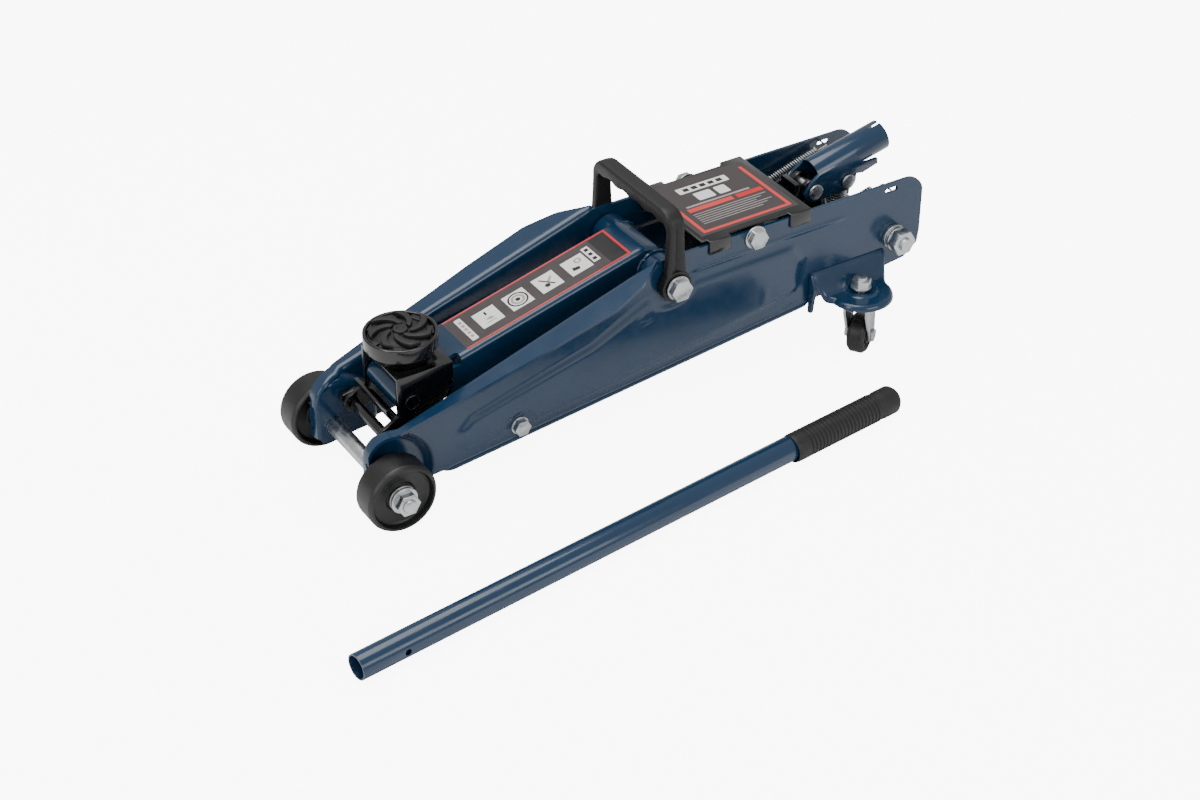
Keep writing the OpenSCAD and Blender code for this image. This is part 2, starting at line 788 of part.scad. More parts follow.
module saddle_cup() {
    profile = [[0, yoke_top - yoke_t - 3], [stem_r, yoke_top - yoke_t - 3], [stem_r, yoke_top + 0.2],
        [saddle_r - 9, yoke_top + 0.2], [saddle_r - 6, yoke_top + 7], [saddle_r, yoke_top + 11],
        [saddle_r, saddle_z], [saddle_r - 3.5, saddle_z], [saddle_r - 3.5, cup_floor], [0, cup_floor]];
    color(black) jack() translate([saddle_x, 0, 0]) rotate_extrude() polygon(profile);
}

module saddle_pad() {
    pad_r = saddle_r - 3.5 - seat_fit;
    profile = [[0, cup_floor + seat_fit], [pad_r, cup_floor + seat_fit], [pad_r, saddle_z - 3],
        [pad_r - 5, saddle_z + 1], [pad_r * 0.4, saddle_z + 3], [0, saddle_z + 3]];
    color([0.1, 0.095, 0.095]) jack() translate([saddle_x, 0, 0]) rotate_extrude() polygon(profile);
}

// ---------- ram ----------

module ram() { color(zinc) jack() rod_x(ram_r, cross_x1 - 6, piston_x + 2, 0, ram_z); }

module ram_piston() {
    color(steel) jack() difference() {
        rod_x(bore_r, piston_x + 2, piston_x + piston_len, 0, ram_z);
        for (x = [piston_x + 5, piston_x + 10]) difference() {
            rod_x(bore_r + 1, x, x + 2, 0, ram_z);
            rod_x(bore_r - 1.5, x - 1, x + 3, 0, ram_z);
        }
    }
}

module crosshead() {
    low = pivot_z - lug_r - lug_pin_r - side_gap;
    high = ram_pin[1] + lug_pin_r + side_gap;
    color(steel) jack() difference() {
        union() {
            block([cross_x0, -cross_half, low - 6], [cross_x1, cross_half, high + 6]);
            block([cross_x1 - 1, -cross_half, bar_z - 6], [bar_x + 6, cross_half, bar_z + 6]);
        }
        block([ram_pin[0] - lug_pin_r - side_gap, -cross_half - 1, low],
            [ram_pin[0] + lug_pin_r + side_gap, cross_half + 1, high]);
        rod_x(ram_r + seat_fit, cross_x1 - 6, bar_x + 10, 0, ram_z);
        rod_y(bar_r + seat_fit, -cross_half - 1, cross_half + 1, bar_x, bar_z);
    }
}

module spring_bar() {
    color(steel) jack() difference() {
        rod_y(bar_r, -bar_half, bar_half, bar_x, bar_z);
        rod_x(ram_r + seat_fit, bar_x - 10, bar_x + 10, 0, ram_z);
    }
}

// ---------- pump and handle socket ----------

module pump_plunger() {
    color(zinc) jack() translate([roller_x, 0, 0]) {
        translate([0, 0, plunger_low]) cylinder(r = plunger_r, h = head_low - plunger_low + 1);
        translate([0, 0, head_low]) cylinder(r = plunger_head_r, h = head_top - head_low);
    }
}

// the socket's own frame: origin at the socket pin, X along the bore, out of the mouth
module socket_frame() translate([socket_x, 0, pin_z]) rotate([0, -socket_deg, 0]) children();

module handle_socket() {
    // pin and roller places in the sloping frame
    roller = [roller_dx * cos(socket_deg), -roller_dx * sin(socket_deg)];
    cheek = concat([[-11, 2], [-2, axis_up + 2], [8, axis_up + 6], [tube_start + 4, axis_up + 6],
        [tube_start + 12, axis_up - 8], [socket_len - 16, axis_up - 11],
        [socket_len - 17, axis_up - 16], [tube_start + 8, axis_up - 17], [roller[0] + 11, roller[1] + 2]],
        arc(roller, 10, 0, -110, 6), arc([0, 0], 11, -100, -170, 5));
    color(blue) jack() difference() {
        socket_frame() union() {
            rod_x(socket_out_r, tube_start, socket_len, 0, axis_up);
            intersection() {
                rod_x(socket_out_r, 8, tube_start + 1, 0, axis_up);
                block([8, -20, axis_up + 4], [tube_start + 1, 20, axis_up + 20]);
            }
            both_sides() slab_y(cheek_in, cheek_out, cheek);
        }
        socket_frame() union() {
            rod_x(socket_bore_r, tube_start - 1, socket_len + 1, 0, axis_up);
            rod_x(socket_bore_r + 0.8, -20, tube_start, 0, axis_up);
            block([socket_len - 12, -2.2, axis_up + 4], [socket_len + 1, 2.2, axis_up + 20]);
        }
        rod_y(socket_pin_r + run_fit, -40, 40, socket_x, pin_z);
        rod_y(roller_pin_r + seat_fit, -40, 40, roller_x, pin_z);
    }
}

module socket_roller() {
    color(zinc) jack() {
        rod_y(roller_r, -cheek_in + side_gap, cheek_in - side_gap, roller_x, pin_z);
        rod_y(roller_pin_r, -cheek_out - 0.5, cheek_out + 0.5, roller_x, pin_z);
        both_sides() rod_y(7, cheek_out + 0.2, cheek_out + 2.8, roller_x, pin_z);
    }
}

module release_valve() {
    color(zinc) jack() {
        rod_x(valve_r, block_end - 18, valve_end - 3, valve_y, valve_z);
        rod_x(7, valve_end - 6, valve_end, valve_y, valve_z);
        rod_y(3, valve_y - 12, valve_y + 12, valve_end - 3, valve_z);
    }
}

// ---------- wheels ----------

module front_wheel() {
    r = axle_r + run_fit;
    profile = [[r, hub_in], [core_r, hub_in], [core_r, tread_in], [14, tread_in + 7],
        [wheel_r - 5.5, tread_in + 7],
        [wheel_r - 4, tread_in], [wheel_r - 2, tread_in], [wheel_r, tread_in + 2.5],
        [wheel_r, tread_out - 2.5], [wheel_r - 2, tread_out], [wheel_r - 4, tread_out],
        [wheel_r - 5.5, tread_out - 8], [14, tread_out - 8], [14, hub_out], [r, hub_out]];
    color([0.1, 0.095, 0.095]) translate([0, 0, axle_z]) rotate([-90, 0, 0])
        rotate_extrude() polygon(profile);
}

module front_wheel_right() { jack() front_wheel(); }

module front_wheel_left() { jack() mirror([0, 1, 0]) front_wheel(); }

// places a caster's pieces about its kingpin, with the wheel trailing along local +X
module caster_frame(side, yaw) translate([king_x, side * caster_y, 0]) rotate([0, 0, yaw]) children();

module caster_fork(side, yaw) {
    cheek = concat(arc([caster_trail, caster_r], 7, 180, 360, 10),
        [[13, fork_top - 8], [13, fork_top], [-13, fork_top], [-13, fork_top - 8]]);
    color(zinc) jack() {
        caster_frame(side, yaw) {
            difference() {
                union() {
                    both_sides() slab_y(fork_in, fork_in + cheek_t, cheek);
                    translate([0, 0, fork_top]) cylinder(r = 14, h = fork_t);
                    block([-13, -fork_in - cheek_t, fork_top - 0.01],
                        [13, fork_in + cheek_t, fork_top + fork_t]);
                    translate([0, 0, fork_top + fork_t]) cylinder(r = 12, h = 4);
                    translate([0, 0, fork_top + fork_t + 4])
                        cylinder(r = 14, h = ear_top - ear_t - fork_top - fork_t - 4.3);
                    translate([0, 0, fork_top]) cylinder(r = king_r, h = ear_top + 13 - fork_top);
                    translate([0, 0, ear_top + 1.8]) cylinder(r = king_washer_r, h = 1.6);
                    translate([0, 0, ear_top + 3.3]) cylinder(d = 18.5, h = 7, $fn = 6);
                }
                translate([caster_trail, 0, caster_r]) rotate([90, 0, 0])
                    cylinder(r = caster_axle_r + seat_fit, h = 60, center = true);
            }
            translate([caster_trail, 0, caster_r]) rotate([90, 0, 0])
                cylinder(r = caster_axle_r, h = 2 * (fork_in + cheek_t) + 1, center = true);
            both_sides() translate([caster_trail, fork_in + cheek_t + 2, caster_r]) rotate([90, 0, 0])
                cylinder(r = 6, h = 1.9);
        }
    }
}

module caster_wheel(side, yaw) {
    w = caster_w / 2;
    profile = [[caster_axle_r + run_fit, -w], [9, -w], [9, -w + 3], [caster_r - 6, -w + 3],
        [caster_r - 5, -w], [caster_r - 3, -w], [caster_r, -w + 3], [caster_r, w - 3],
        [caster_r - 3, w], [caster_r - 5, w], [caster_r - 6, w - 3], [9, w - 3], [9, w],
        [caster_axle_r + run_fit, w]];
    color([0.1, 0.095, 0.095]) jack() caster_frame(side, yaw)
        translate([caster_trail, 0, caster_r]) rotate([90, 0, 0]) rotate_extrude() polygon(profile);
}

module caster_fork_left() { caster_fork(-1, yaw_left); }

module caster_fork_right() { caster_fork(1, yaw_right); }

module caster_wheel_left() { caster_wheel(-1, yaw_left); }

module caster_wheel_right() { caster_wheel(1, yaw_right); }

// ---------- handles ----------

module carry_handle() {
    out = carry_in + carry_t;
    leg = concat(arc([pivot_x, pivot_z], eye_r, 180, 360, 12),
        [[pivot_x + 9, pivot_z + 24], [pivot_x + 8, pivot_z + carry_h - 14],
         [pivot_x - 8, pivot_z + carry_h - 14], [pivot_x - 9, pivot_z + 24]]);
    bar = [[-out, pivot_z + carry_h - 20], [-out + carry_t, pivot_z + carry_h - 20],
        [-out + carry_t + 14, pivot_z + carry_h - 13], [out - carry_t - 14, pivot_z + carry_h - 13],
        [out - carry_t, pivot_z + carry_h - 20], [out, pivot_z + carry_h - 20],
        [out, pivot_z + carry_h - 6], [out - 6, pivot_z + carry_h],
        [-out + 6, pivot_z + carry_h], [-out, pivot_z + carry_h - 6]];
    color(black) jack() difference() {
        union() {
            both_sides() slab_y(carry_in, out, leg);
            translate([pivot_x - bar_w / 2, 0, 0]) rotate([90, 0, 90]) linear_extrude(bar_w) polygon(bar);
        }
        both_sides() rod_y(shoulder_r + run_fit, web_in, out + 10, pivot_x, pivot_z);
    }
}

// the handle's own frame: X along the tube from its open end
module handle_frame()
    translate([handle_start[0], handle_start[1], tube_r]) rotate([0, 0, handle_yaw])
    rotate([0, -tilt, 0]) children();

module handle_tube() {
    color(blue) jack() handle_frame() difference() {
        rod_x(tube_r, 0, tube_len + grip_len - 12, 0, 0);
        rod_x(tube_r - tube_t, -1, tube_len + grip_len - 14, 0, 0);
        rod_y(3, -tube_r - 1, 0, hole_x, 0);
    }
}

module handle_grip() {
    rib = 4.2;
    ribs = floor((grip_len - 46) / rib);
    color([0.1, 0.095, 0.095]) jack() handle_frame() difference() {
        union() {
            rod_x(grip_r, tube_len, tube_len + grip_len - 4, 0, 0);
            translate([tube_len + grip_len - 4, 0, 0]) rotate([0, 90, 0])
                cylinder(r1 = grip_r, r2 = grip_r - 3, h = 4);
        }
        rod_x(tube_r + seat_fit, tube_len - 1, tube_len + grip_len - 11, 0, 0);
        for (i = [0 : ribs]) translate([tube_len + 12 + i * rib, 0, 0]) rotate([0, 90, 0])
            difference() {
                cylinder(r = grip_r + 1, h = 1.6);
                translate([0, 0, -1]) cylinder(r = grip_r - 0.7, h = 4);
            }
    }
}

// ---------- build ----------

side_plate_left();
side_plate_right();
axle_sleeve();
front_axle();
axle_nuts();
axle_washers();
cross_sleeve();
cross_bolt();
main_shaft();
main_bolts();
link_pivots();
cover_plate();
cover_label();
tie_rod();
tie_nuts();
tie_collars();
caster_bracket_left();
caster_bracket_right();
front_head();
reservoir_tube();
pressure_tube();
gland_nut();
rod_seal();
pump_block();
pump_bracket();
plunger_gland();
filler_plug();
check_balls();
relief_screw();
head_bolts();
socket_pin();
return_springs();
plunger_spring();
lift_arm();
arm_label();
yoke_pivot_pin();
ram_cross_pin();
link_rods();
link_bar();
saddle_yoke();
saddle_cup();
saddle_pad();
ram();
ram_piston();
crosshead();
spring_bar();
pump_plunger();
handle_socket();
socket_roller();
release_valve();
front_wheel_left();
front_wheel_right();
caster_fork_left();
caster_fork_right();
caster_wheel_left();
caster_wheel_right();
carry_handle();
handle_tube();
handle_grip();
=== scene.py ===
import json
import math

import bpy
from mathutils import Matrix, Vector


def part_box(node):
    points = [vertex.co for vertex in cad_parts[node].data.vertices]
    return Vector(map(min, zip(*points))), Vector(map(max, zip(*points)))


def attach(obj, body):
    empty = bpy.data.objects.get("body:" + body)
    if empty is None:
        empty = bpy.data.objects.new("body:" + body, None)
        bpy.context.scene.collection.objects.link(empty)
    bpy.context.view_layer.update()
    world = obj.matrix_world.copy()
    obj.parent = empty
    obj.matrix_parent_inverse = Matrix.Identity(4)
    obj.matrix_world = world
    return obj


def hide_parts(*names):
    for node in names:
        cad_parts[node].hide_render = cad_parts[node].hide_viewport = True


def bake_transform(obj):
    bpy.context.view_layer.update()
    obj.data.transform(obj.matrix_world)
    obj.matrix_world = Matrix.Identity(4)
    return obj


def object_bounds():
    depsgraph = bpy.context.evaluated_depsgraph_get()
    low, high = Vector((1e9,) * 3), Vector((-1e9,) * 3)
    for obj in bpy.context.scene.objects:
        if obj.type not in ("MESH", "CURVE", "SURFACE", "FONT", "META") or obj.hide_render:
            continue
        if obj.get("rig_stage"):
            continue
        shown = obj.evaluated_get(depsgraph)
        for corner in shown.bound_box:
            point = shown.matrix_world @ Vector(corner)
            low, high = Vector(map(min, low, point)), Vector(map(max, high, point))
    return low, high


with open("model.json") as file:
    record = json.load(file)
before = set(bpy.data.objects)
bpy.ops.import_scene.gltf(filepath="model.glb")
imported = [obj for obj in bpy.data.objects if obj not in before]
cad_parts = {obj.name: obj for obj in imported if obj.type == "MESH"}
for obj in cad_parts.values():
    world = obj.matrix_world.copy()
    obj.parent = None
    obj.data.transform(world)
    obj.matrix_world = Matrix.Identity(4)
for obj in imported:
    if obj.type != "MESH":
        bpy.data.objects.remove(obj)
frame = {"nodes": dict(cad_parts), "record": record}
CAD = frame["nodes"]
JOINTS = {j["name"]: Vector(j["pos_m"]) for j in frame["record"]["behaviour"]["joints"] if "pos_m" in j}
BODY_OF = {n: b for b, nodes in frame["record"]["behaviour"]["bodies"].items() for n in nodes}

cad_low = Vector((1e9,) * 3)
cad_high = Vector((-1e9,) * 3)
for name in CAD:
    low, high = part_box(name)
    cad_low = Vector(map(min, cad_low, low))
    cad_high = Vector(map(max, cad_high, high))

# The jack's own frame, in mm: x from the front axle, y from the middle of the jack, z from the floor.
AXLE = JOINTS["front_wheel_left_spin"]
PIVOT = JOINTS["arm_lift"]
ORIGIN = Vector((AXLE.x, PIVOT.y, 0))


def at(x, y, z):
    return ORIGIN + Vector((x, y, z)) / 1000


def mm(point):
    return (point - ORIGIN) * 1000


pivot = mm(PIVOT)
axle = mm(AXLE)
yoke_pin = mm(JOINTS["yoke_level"])
link_pin = mm(JOINTS["link_swing"])
web_out = mm(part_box("link_pivots")[1]).y
plate_low = mm(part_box("side_plate_right")[0])
plate_high = mm(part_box("side_plate_right")[1])
nose_x = plate_low.x
rear_x = plate_high.x
plate_top = plate_high.z


# ---------- finishes ----------

def tone(code):
    """An sRGB hex colour as linear light."""
    parts = [int(code[i : i + 2], 16) / 255 for i in (1, 3, 5)]
    return [c / 12.92 if c <= 0.04045 else ((c + 0.055) / 1.055) ** 2.4 for c in parts] + [1.0]


def add(tree, kind, settings=None, **inputs):
    """One node with its settings, and its inputs given as values or as other nodes' outputs."""
    made = tree.nodes.new(kind)
    for key, value in (settings or {}).items():
        setattr(made, key, value)
    for key, value in inputs.items():
        socket = made.inputs[int(key[1:])] if key[0] == "_" else made.inputs[key.replace("_", " ")]
        if isinstance(value, bpy.types.NodeSocket):
            tree.links.new(value, socket)
        else:
            socket.default_value = value
    return made


def blank(name):
    made = bpy.data.materials.new(name)
    made.use_nodes = True
    made.node_tree.nodes.clear()
    return made, made.node_tree


def finish_off(tree, shader):
    add(tree, "ShaderNodeOutputMaterial", Surface=shader.outputs["BSDF"])


def enamel(name, light, dark, roughness, coat):
    """Sprayed stoving enamel on pressed steel: faint orange peel, and a darker tint in places."""
    made, tree = blank(name)
    place = add(tree, "ShaderNodeTexCoord").outputs["Object"]
    cloud = add(tree, "ShaderNodeTexNoise", None, Vector=place, Scale=1000 / 55, Detail=3.0, Roughness=0.5)
    tint = add(tree, "ShaderNodeMix", {"data_type": "RGBA"}, _0=cloud.outputs["Fac"], _6=tone(dark),
               _7=tone(light))
    # orange peel cells about 3.5 mm across, drawn coarser than the real 1 mm so that they show
    peel = add(tree, "ShaderNodeTexNoise", None, Vector=place, Scale=1000 / 3.5, Detail=0.0, Roughness=0.5)
    dust = add(tree, "ShaderNodeTexNoise", None, Vector=place, Scale=1000 / 24, Detail=2.0, Roughness=0.5)
    sheen = add(tree, "ShaderNodeMapRange", None, Value=dust.outputs["Fac"], _1=0.3, _2=0.7,
                _3=roughness - 0.05, _4=roughness + 0.07)
    bump = add(tree, "ShaderNodeBump", None, Strength=0.05, Distance=0.00015, Height=peel.outputs["Fac"])
    shader = add(tree, "ShaderNodeBsdfPrincipled", None, Base_Color=tint.outputs[2],
                 Roughness=sheen.outputs["Result"],
                 Normal=bump.outputs["Normal"])
    shader.inputs["IOR"].default_value = 1.5
    shader.inputs["Coat Weight"].default_value = coat
    shader.inputs["Coat Roughness"].default_value = 0.07
    finish_off(tree, shader)
    return made


def plated(name, light, dark, roughness, grain_mm, stretch):
    """Zinc-plated or bare machined steel: metallic, mottled, with fine turning marks."""
    made, tree = blank(name)
    place = add(tree, "ShaderNodeTexCoord").outputs["Object"]
    mottle = add(tree, "ShaderNodeTexNoise", None, Vector=place, Scale=1000 / 7, Detail=4.0, Roughness=0.6)
    tint = add(tree, "ShaderNodeMix", {"data_type": "RGBA"}, _0=mottle.outputs["Fac"], _6=tone(dark),
               _7=tone(light))
    turned_way = add(tree, "ShaderNodeMapping", None, Vector=place, Scale=stretch)
    grain = add(tree, "ShaderNodeTexNoise", None, Vector=turned_way.outputs["Vector"], Scale=1000 / grain_mm,
                Detail=3.0, Roughness=0.6)
    sheen = add(tree, "ShaderNodeMapRange", None, Value=mottle.outputs["Fac"], _1=0.3, _2=0.7,
                _3=roughness - 0.07, _4=roughness + 0.09)
    bump = add(tree, "ShaderNodeBump", None, Strength=0.25, Distance=0.0001, Height=grain.outputs["Fac"])
    shader = add(tree, "ShaderNodeBsdfPrincipled", None, Base_Color=tint.outputs[2],
                 Roughness=sheen.outputs["Result"],
                 Normal=bump.outputs["Normal"])
    shader.inputs["Metallic"].default_value = 1.0
    finish_off(tree, shader)
    return made


def moulded(name, light, dark, roughness, grain_mm, height, ior):
    """Moulded plastic or rubber with a fine spark-eroded grain, paler where it is scuffed."""
    made, tree = blank(name)
    place = add(tree, "ShaderNodeTexCoord").outputs["Object"]
    scuff = add(tree, "ShaderNodeTexNoise", None, Vector=place, Scale=1000 / 16, Detail=6.0, Roughness=0.7)
    tint = add(tree, "ShaderNodeMix", {"data_type": "RGBA"}, _0=scuff.outputs["Fac"], _6=tone(dark),
               _7=tone(light))
    grain = add(tree, "ShaderNodeTexVoronoi", None, Vector=place, Scale=1000 / grain_mm)
    sheen = add(tree, "ShaderNodeMapRange", None, Value=scuff.outputs["Fac"], _1=0.3, _2=0.7,
                _3=roughness - 0.06, _4=roughness + 0.1)
    bump = add(tree, "ShaderNodeBump", None, Strength=0.35, Distance=height / 1000,
               Height=grain.outputs["Distance"])
    shader = add(tree, "ShaderNodeBsdfPrincipled", None, Base_Color=tint.outputs[2],
                 Roughness=sheen.outputs["Result"],
                 Normal=bump.outputs["Normal"])
    shader.inputs["IOR"].default_value = ior
    finish_off(tree, shader)
    return made


# petrol-blue gloss enamel: deep colour with soft wide highlights
BLUE = enamel("petrol_blue_stoving_enamel", "#0B3352", "#092A44", 0.2, 0.25)
# black gloss enamel: near-black with sharp highlights along each bend
BLACK = enamel("black_stoving_enamel", "#08080A", "#050506", 0.2, 0.45)
# zinc plate: pale, slightly uneven silver
ZINC = plated("zinc_plated_steel", "#D9DCDD", "#B4B9BB", 0.3, 0.8, (1, 1, 1))
# machined steel: darker, with marks round the axis
STEEL = plated("machined_steel", "#A9ABAD", "#8B8D90", 0.34, 1.2, (1, 6, 1))
# spring wire: dark drawn steel under thin zinc
WIRE = plated("drawn_spring_wire", "#B9BCBE", "#8F9396", 0.28, 0.6, (1, 1, 1))
# sand-cast iron, painted: coarse soft grain
CAST = moulded("black_painted_cast_iron", "#121213", "#0A0A0B", 0.42, 1.6, 0.25, 1.5)
# moulded nylon wheel: dull black, fine grain
NYLON = moulded("black_moulded_nylon", "#141314", "#0B0A0B", 0.38, 1.1, 0.05, 1.53)
# glass-filled polypropylene carry handle: greyer, with a leather-like grain
POLYPROP = moulded("black_polypropylene", "#151314", "#0C0B0C", 0.46, 1.3, 0.09, 1.49)
# rubber: soft and matt
RUBBER = moulded("black_rubber", "#181618", "#0E0D0E", 0.55, 1.4, 0.06, 1.52)
# printed vinyl film, one per ink
FILM = moulded("charcoal_vinyl_film", "#453D3E", "#3A3334", 0.36, 2.0, 0.01, 1.5)
CORAL = moulded("coral_red_ink", "#E5443E", "#D63B36", 0.36, 2.0, 0.01, 1.5)
RED = moulded("bright_red_ink", "#E01822", "#D0121C", 0.36, 2.0, 0.01, 1.5)
WHITE = moulded("white_ink", "#F2F2F0", "#E6E6E4", 0.4, 2.0, 0.01, 1.5)
GREY = moulded("pale_grey_ink", "#A9A3A2", "#9C9695", 0.4, 2.0, 0.01, 1.5)
NIGHT = moulded("black_ink", "#1C1A1B", "#141213", 0.36, 2.0, 0.01, 1.5)

FINISH = {"paint_blue": BLUE, "paint_black": BLACK, "zinc": ZINC, "steel": STEEL, "cast_black": CAST,
          "wheel_plastic": NYLON, "grip_plastic": POLYPROP, "pad_rubber": RUBBER, "seal_rubber": RUBBER,
          "label_film": FILM}
SLOT_OF = {s["node"]: s["material_slot"] for s in frame["record"]["subparts"]}
for name, thing in CAD.items():
    thing.data.materials.clear()
    thing.data.materials.append(FINISH[SLOT_OF[name]])


# ---------- making pieces ----------

def alone():
    if bpy.context.object and bpy.context.object.mode != "OBJECT":
        bpy.ops.object.mode_set(mode="OBJECT")
    bpy.ops.object.select_all(action="DESELECT")


def pick(thing):
    alone()
    thing.select_set(True)
    bpy.context.view_layer.objects.active = thing


def close_up(thing, fill=False, merge=2e-6):
    """Merges doubled corners, closes open ends and turns every face outwards."""
    pick(thing)
    bpy.ops.object.mode_set(mode="EDIT")
    bpy.ops.mesh.select_all(action="SELECT")
    bpy.ops.mesh.remove_doubles(threshold=merge)
    if fill:
        bpy.ops.mesh.select_all(action="DESELECT")
        bpy.ops.mesh.select_non_manifold()
        bpy.ops.mesh.fill_holes(sides=0)
    bpy.ops.mesh.select_all(action="SELECT")
    bpy.ops.mesh.normals_make_consistent(inside=False)
    bpy.ops.object.mode_set(mode="OBJECT")
    return thing


def skin(name, across, along, place):
    """A grid of faces laid on place(i, j), for i up to across and j up to along."""
    alone()
    bpy.ops.mesh.primitive_grid_add(x_subdivisions=across, y_subdivisions=along, size=2)
    made = bpy.context.object
    made.name = name
    for v in made.data.vertices:
        v.co = place(round((v.co.x + 1) / 2 * across), round((v.co.y + 1) / 2 * along))
    return made


def turned(name, profile, centre, axis, steps=72):
    """A closed profile of (radius, height) pairs, in mm, turned about an axis through centre."""
    up = Vector(axis).normalized()
    side = up.orthogonal().normalized()
    other = up.cross(side)
    count = len(profile)

    def place(i, j):
        r, h = profile[j % count]
        a = 2 * math.pi * (i % steps) / steps
        return centre + (up * h + side * (r * math.cos(a)) + other * (r * math.sin(a))) / 1000

    return close_up(skin(name, steps, count, place))


def rounded(points, radius, steps=4, closed=True):
    """A 2-D outline with each corner eased to a radius; a third number on a point sets its own."""
    out = []
    count = len(points)
    for k, p in enumerate(points):
        here = Vector(p[:2])
        if not closed and k in (0, count - 1):
            out.append(here)
            continue
        back, on = Vector(points[k - 1][:2]), Vector(points[(k + 1) % count][:2])
        a, b = back - here, on - here
        if a.length < 1e-6 or b.length < 1e-6:
            continue
        angle = a.angle(b)
        want = p[2] if len(p) > 2 else radius
        if want <= 0 or angle > 3.0:
            out.append(here)
            continue
        cut = min(want / math.tan(angle / 2), a.length * 0.48, b.length * 0.48)
        first, last = here + a.normalized() * cut, here + b.normalized() * cut
        for s in range(steps + 1):
            t = s / steps
            out.append(first * (1 - t) ** 2 + here * (2 * t * (1 - t)) + last * t * t)
    return out


def plate(name, outline, thick, lay):
    """A flat outline given thickness; lay(a, b, h) puts outline point (a, b) at height h."""
    alone()
    bpy.ops.mesh.primitive_circle_add(vertices=len(outline), fill_type="NGON")
    made = bpy.context.object
    made.name = name
    for v, p in zip(made.data.vertices, outline):
        v.co = lay(p[0], p[1], 0)
    shift = lay(0, 0, thick) - lay(0, 0, 0)
    bpy.ops.object.mode_set(mode="EDIT")
    bpy.ops.mesh.select_all(action="SELECT")
    bpy.ops.mesh.extrude_region_move(TRANSFORM_OT_translate={"value": shift})
    bpy.ops.mesh.select_all(action="SELECT")
    bpy.ops.mesh.normals_make_consistent(inside=False)
    bpy.ops.object.mode_set(mode="OBJECT")
    return made


def turn_over(thing):
    pick(thing)
    bpy.ops.object.mode_set(mode="EDIT")
    bpy.ops.mesh.select_all(action="SELECT")
    bpy.ops.mesh.flip_normals()
    bpy.ops.object.mode_set(mode="OBJECT")


def apply(thing, kind, **settings):
    pick(thing)
    m = thing.modifiers.new(kind.title(), kind)
    for key, value in settings.items():
        setattr(m, key, value)
    bpy.ops.object.modifier_apply(modifier=m.name)
    return thing


def ease(thing, width, segments=2, angle=30):
    return apply(thing, "BEVEL", width=width / 1000, segments=segments, limit_method="ANGLE",
                 angle_limit=math.radians(angle), harden_normals=False)


def cut(thing, cutter):
    apply(thing, "BOOLEAN", operation="DIFFERENCE", object=cutter, solver="EXACT")
    bpy.data.objects.remove(cutter, do_unlink=True)
    return thing


def join(name, *things):
    alone()
    for t in things:
        t.select_set(True)
    bpy.context.view_layer.objects.active = things[0]
    bpy.ops.object.join()
    made = bpy.context.object
    made.name = name
    return made


def hand_over(thing, finish, slot, body, *nodes, smooth=34):
    """Finishes a piece: its material, smooth shading, the body it moves with, and hides the nodes it stands
    for.
    """
    pick(thing)
    bpy.ops.object.transform_apply(location=True, rotation=True, scale=True)
    if finish is not None:
        thing.data.materials.clear()
        thing.data.materials.append(finish)
    bpy.ops.object.shade_smooth_by_angle(angle=math.radians(smooth))
    if body:
        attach(thing, body)
    if nodes:
        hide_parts(*nodes)
    return thing


def eased_from(node, width, segments=2, angle=30, smooth=34):
    """A piece worked up from a CAD node: faces joined up and its sharp edges broken."""
    alone()
    source = CAD[node]
    made = source.copy()
    made.data = source.data.copy()
    made.name = node + "_eased"
    bpy.context.scene.collection.objects.link(made)
    made.parent = None
    made.matrix_world = Matrix.Identity(4)
    for key in list(made.keys()):
        if key.startswith("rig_"):
            del made[key]
    pick(made)
    bpy.ops.object.mode_set(mode="EDIT")
    bpy.ops.mesh.select_all(action="SELECT")
    bpy.ops.mesh.remove_doubles(threshold=1e-6)
    bpy.ops.mesh.dissolve_limited(angle_limit=math.radians(0.6))
    bpy.ops.object.mode_set(mode="OBJECT")
    ease(made, width, segments, angle)
    return hand_over(made, FINISH[SLOT_OF[node]], SLOT_OF[node], BODY_OF[node], node, smooth=smooth)


def step(t):
    t = max(0.0, min(1.0, t))
    return t * t * (3 - 2 * t)


def ramp(table, x):
    """A value read off a list of (place, value) pairs."""
    for (a, p), (b, q) in zip(table, table[1:]):
        if x <= b:
            return p + (q - p) * max(0.0, (x - a) / (b - a))
    return table[-1][1]


# ---------- side plates ----------

slope_end = pivot.x - 15
nose_top = axle.z + 47.5
flange_out = [(nose_x, 54), (0, 58), (12, 62), (66, 68), (115, 72), (155, 76), (217, web_out + 25.5),
              (247, 72), (274, web_out)]
# the low bolt near the front of each plate, and the slot that a return spring hooks into
CROSS_BOLT = (131, 41)
HOOK_SLOT = (528, 152.5)
panel = [(71, 44), (72, 56), (84, 67), (144, 82), (205, 97), (262, 124), (310, 127), (418, 129), (430, 112),
         (424, 80), (387, 71), (321, 61), (200, 48), (95, 37), (78, 37)]


def edge_distance(x, z):
    """Signed distance to the pressed panel's outline, positive inside."""
    inside = False
    best = 1e9
    for (ax, az), (bx, bz) in zip(panel, panel[1:] + panel[:1]):
        if (az > z) != (bz > z) and x < (bx - ax) * (z - az) / (bz - az) + ax:
            inside = not inside
        dx, dz = bx - ax, bz - az
        t = max(0.0, min(1.0, ((x - ax) * dx + (z - az) * dz) / (dx * dx + dz * dz)))
        best = min(best, math.hypot(x - ax - t * dx, z - az - t * dz))
    return best if inside else -best


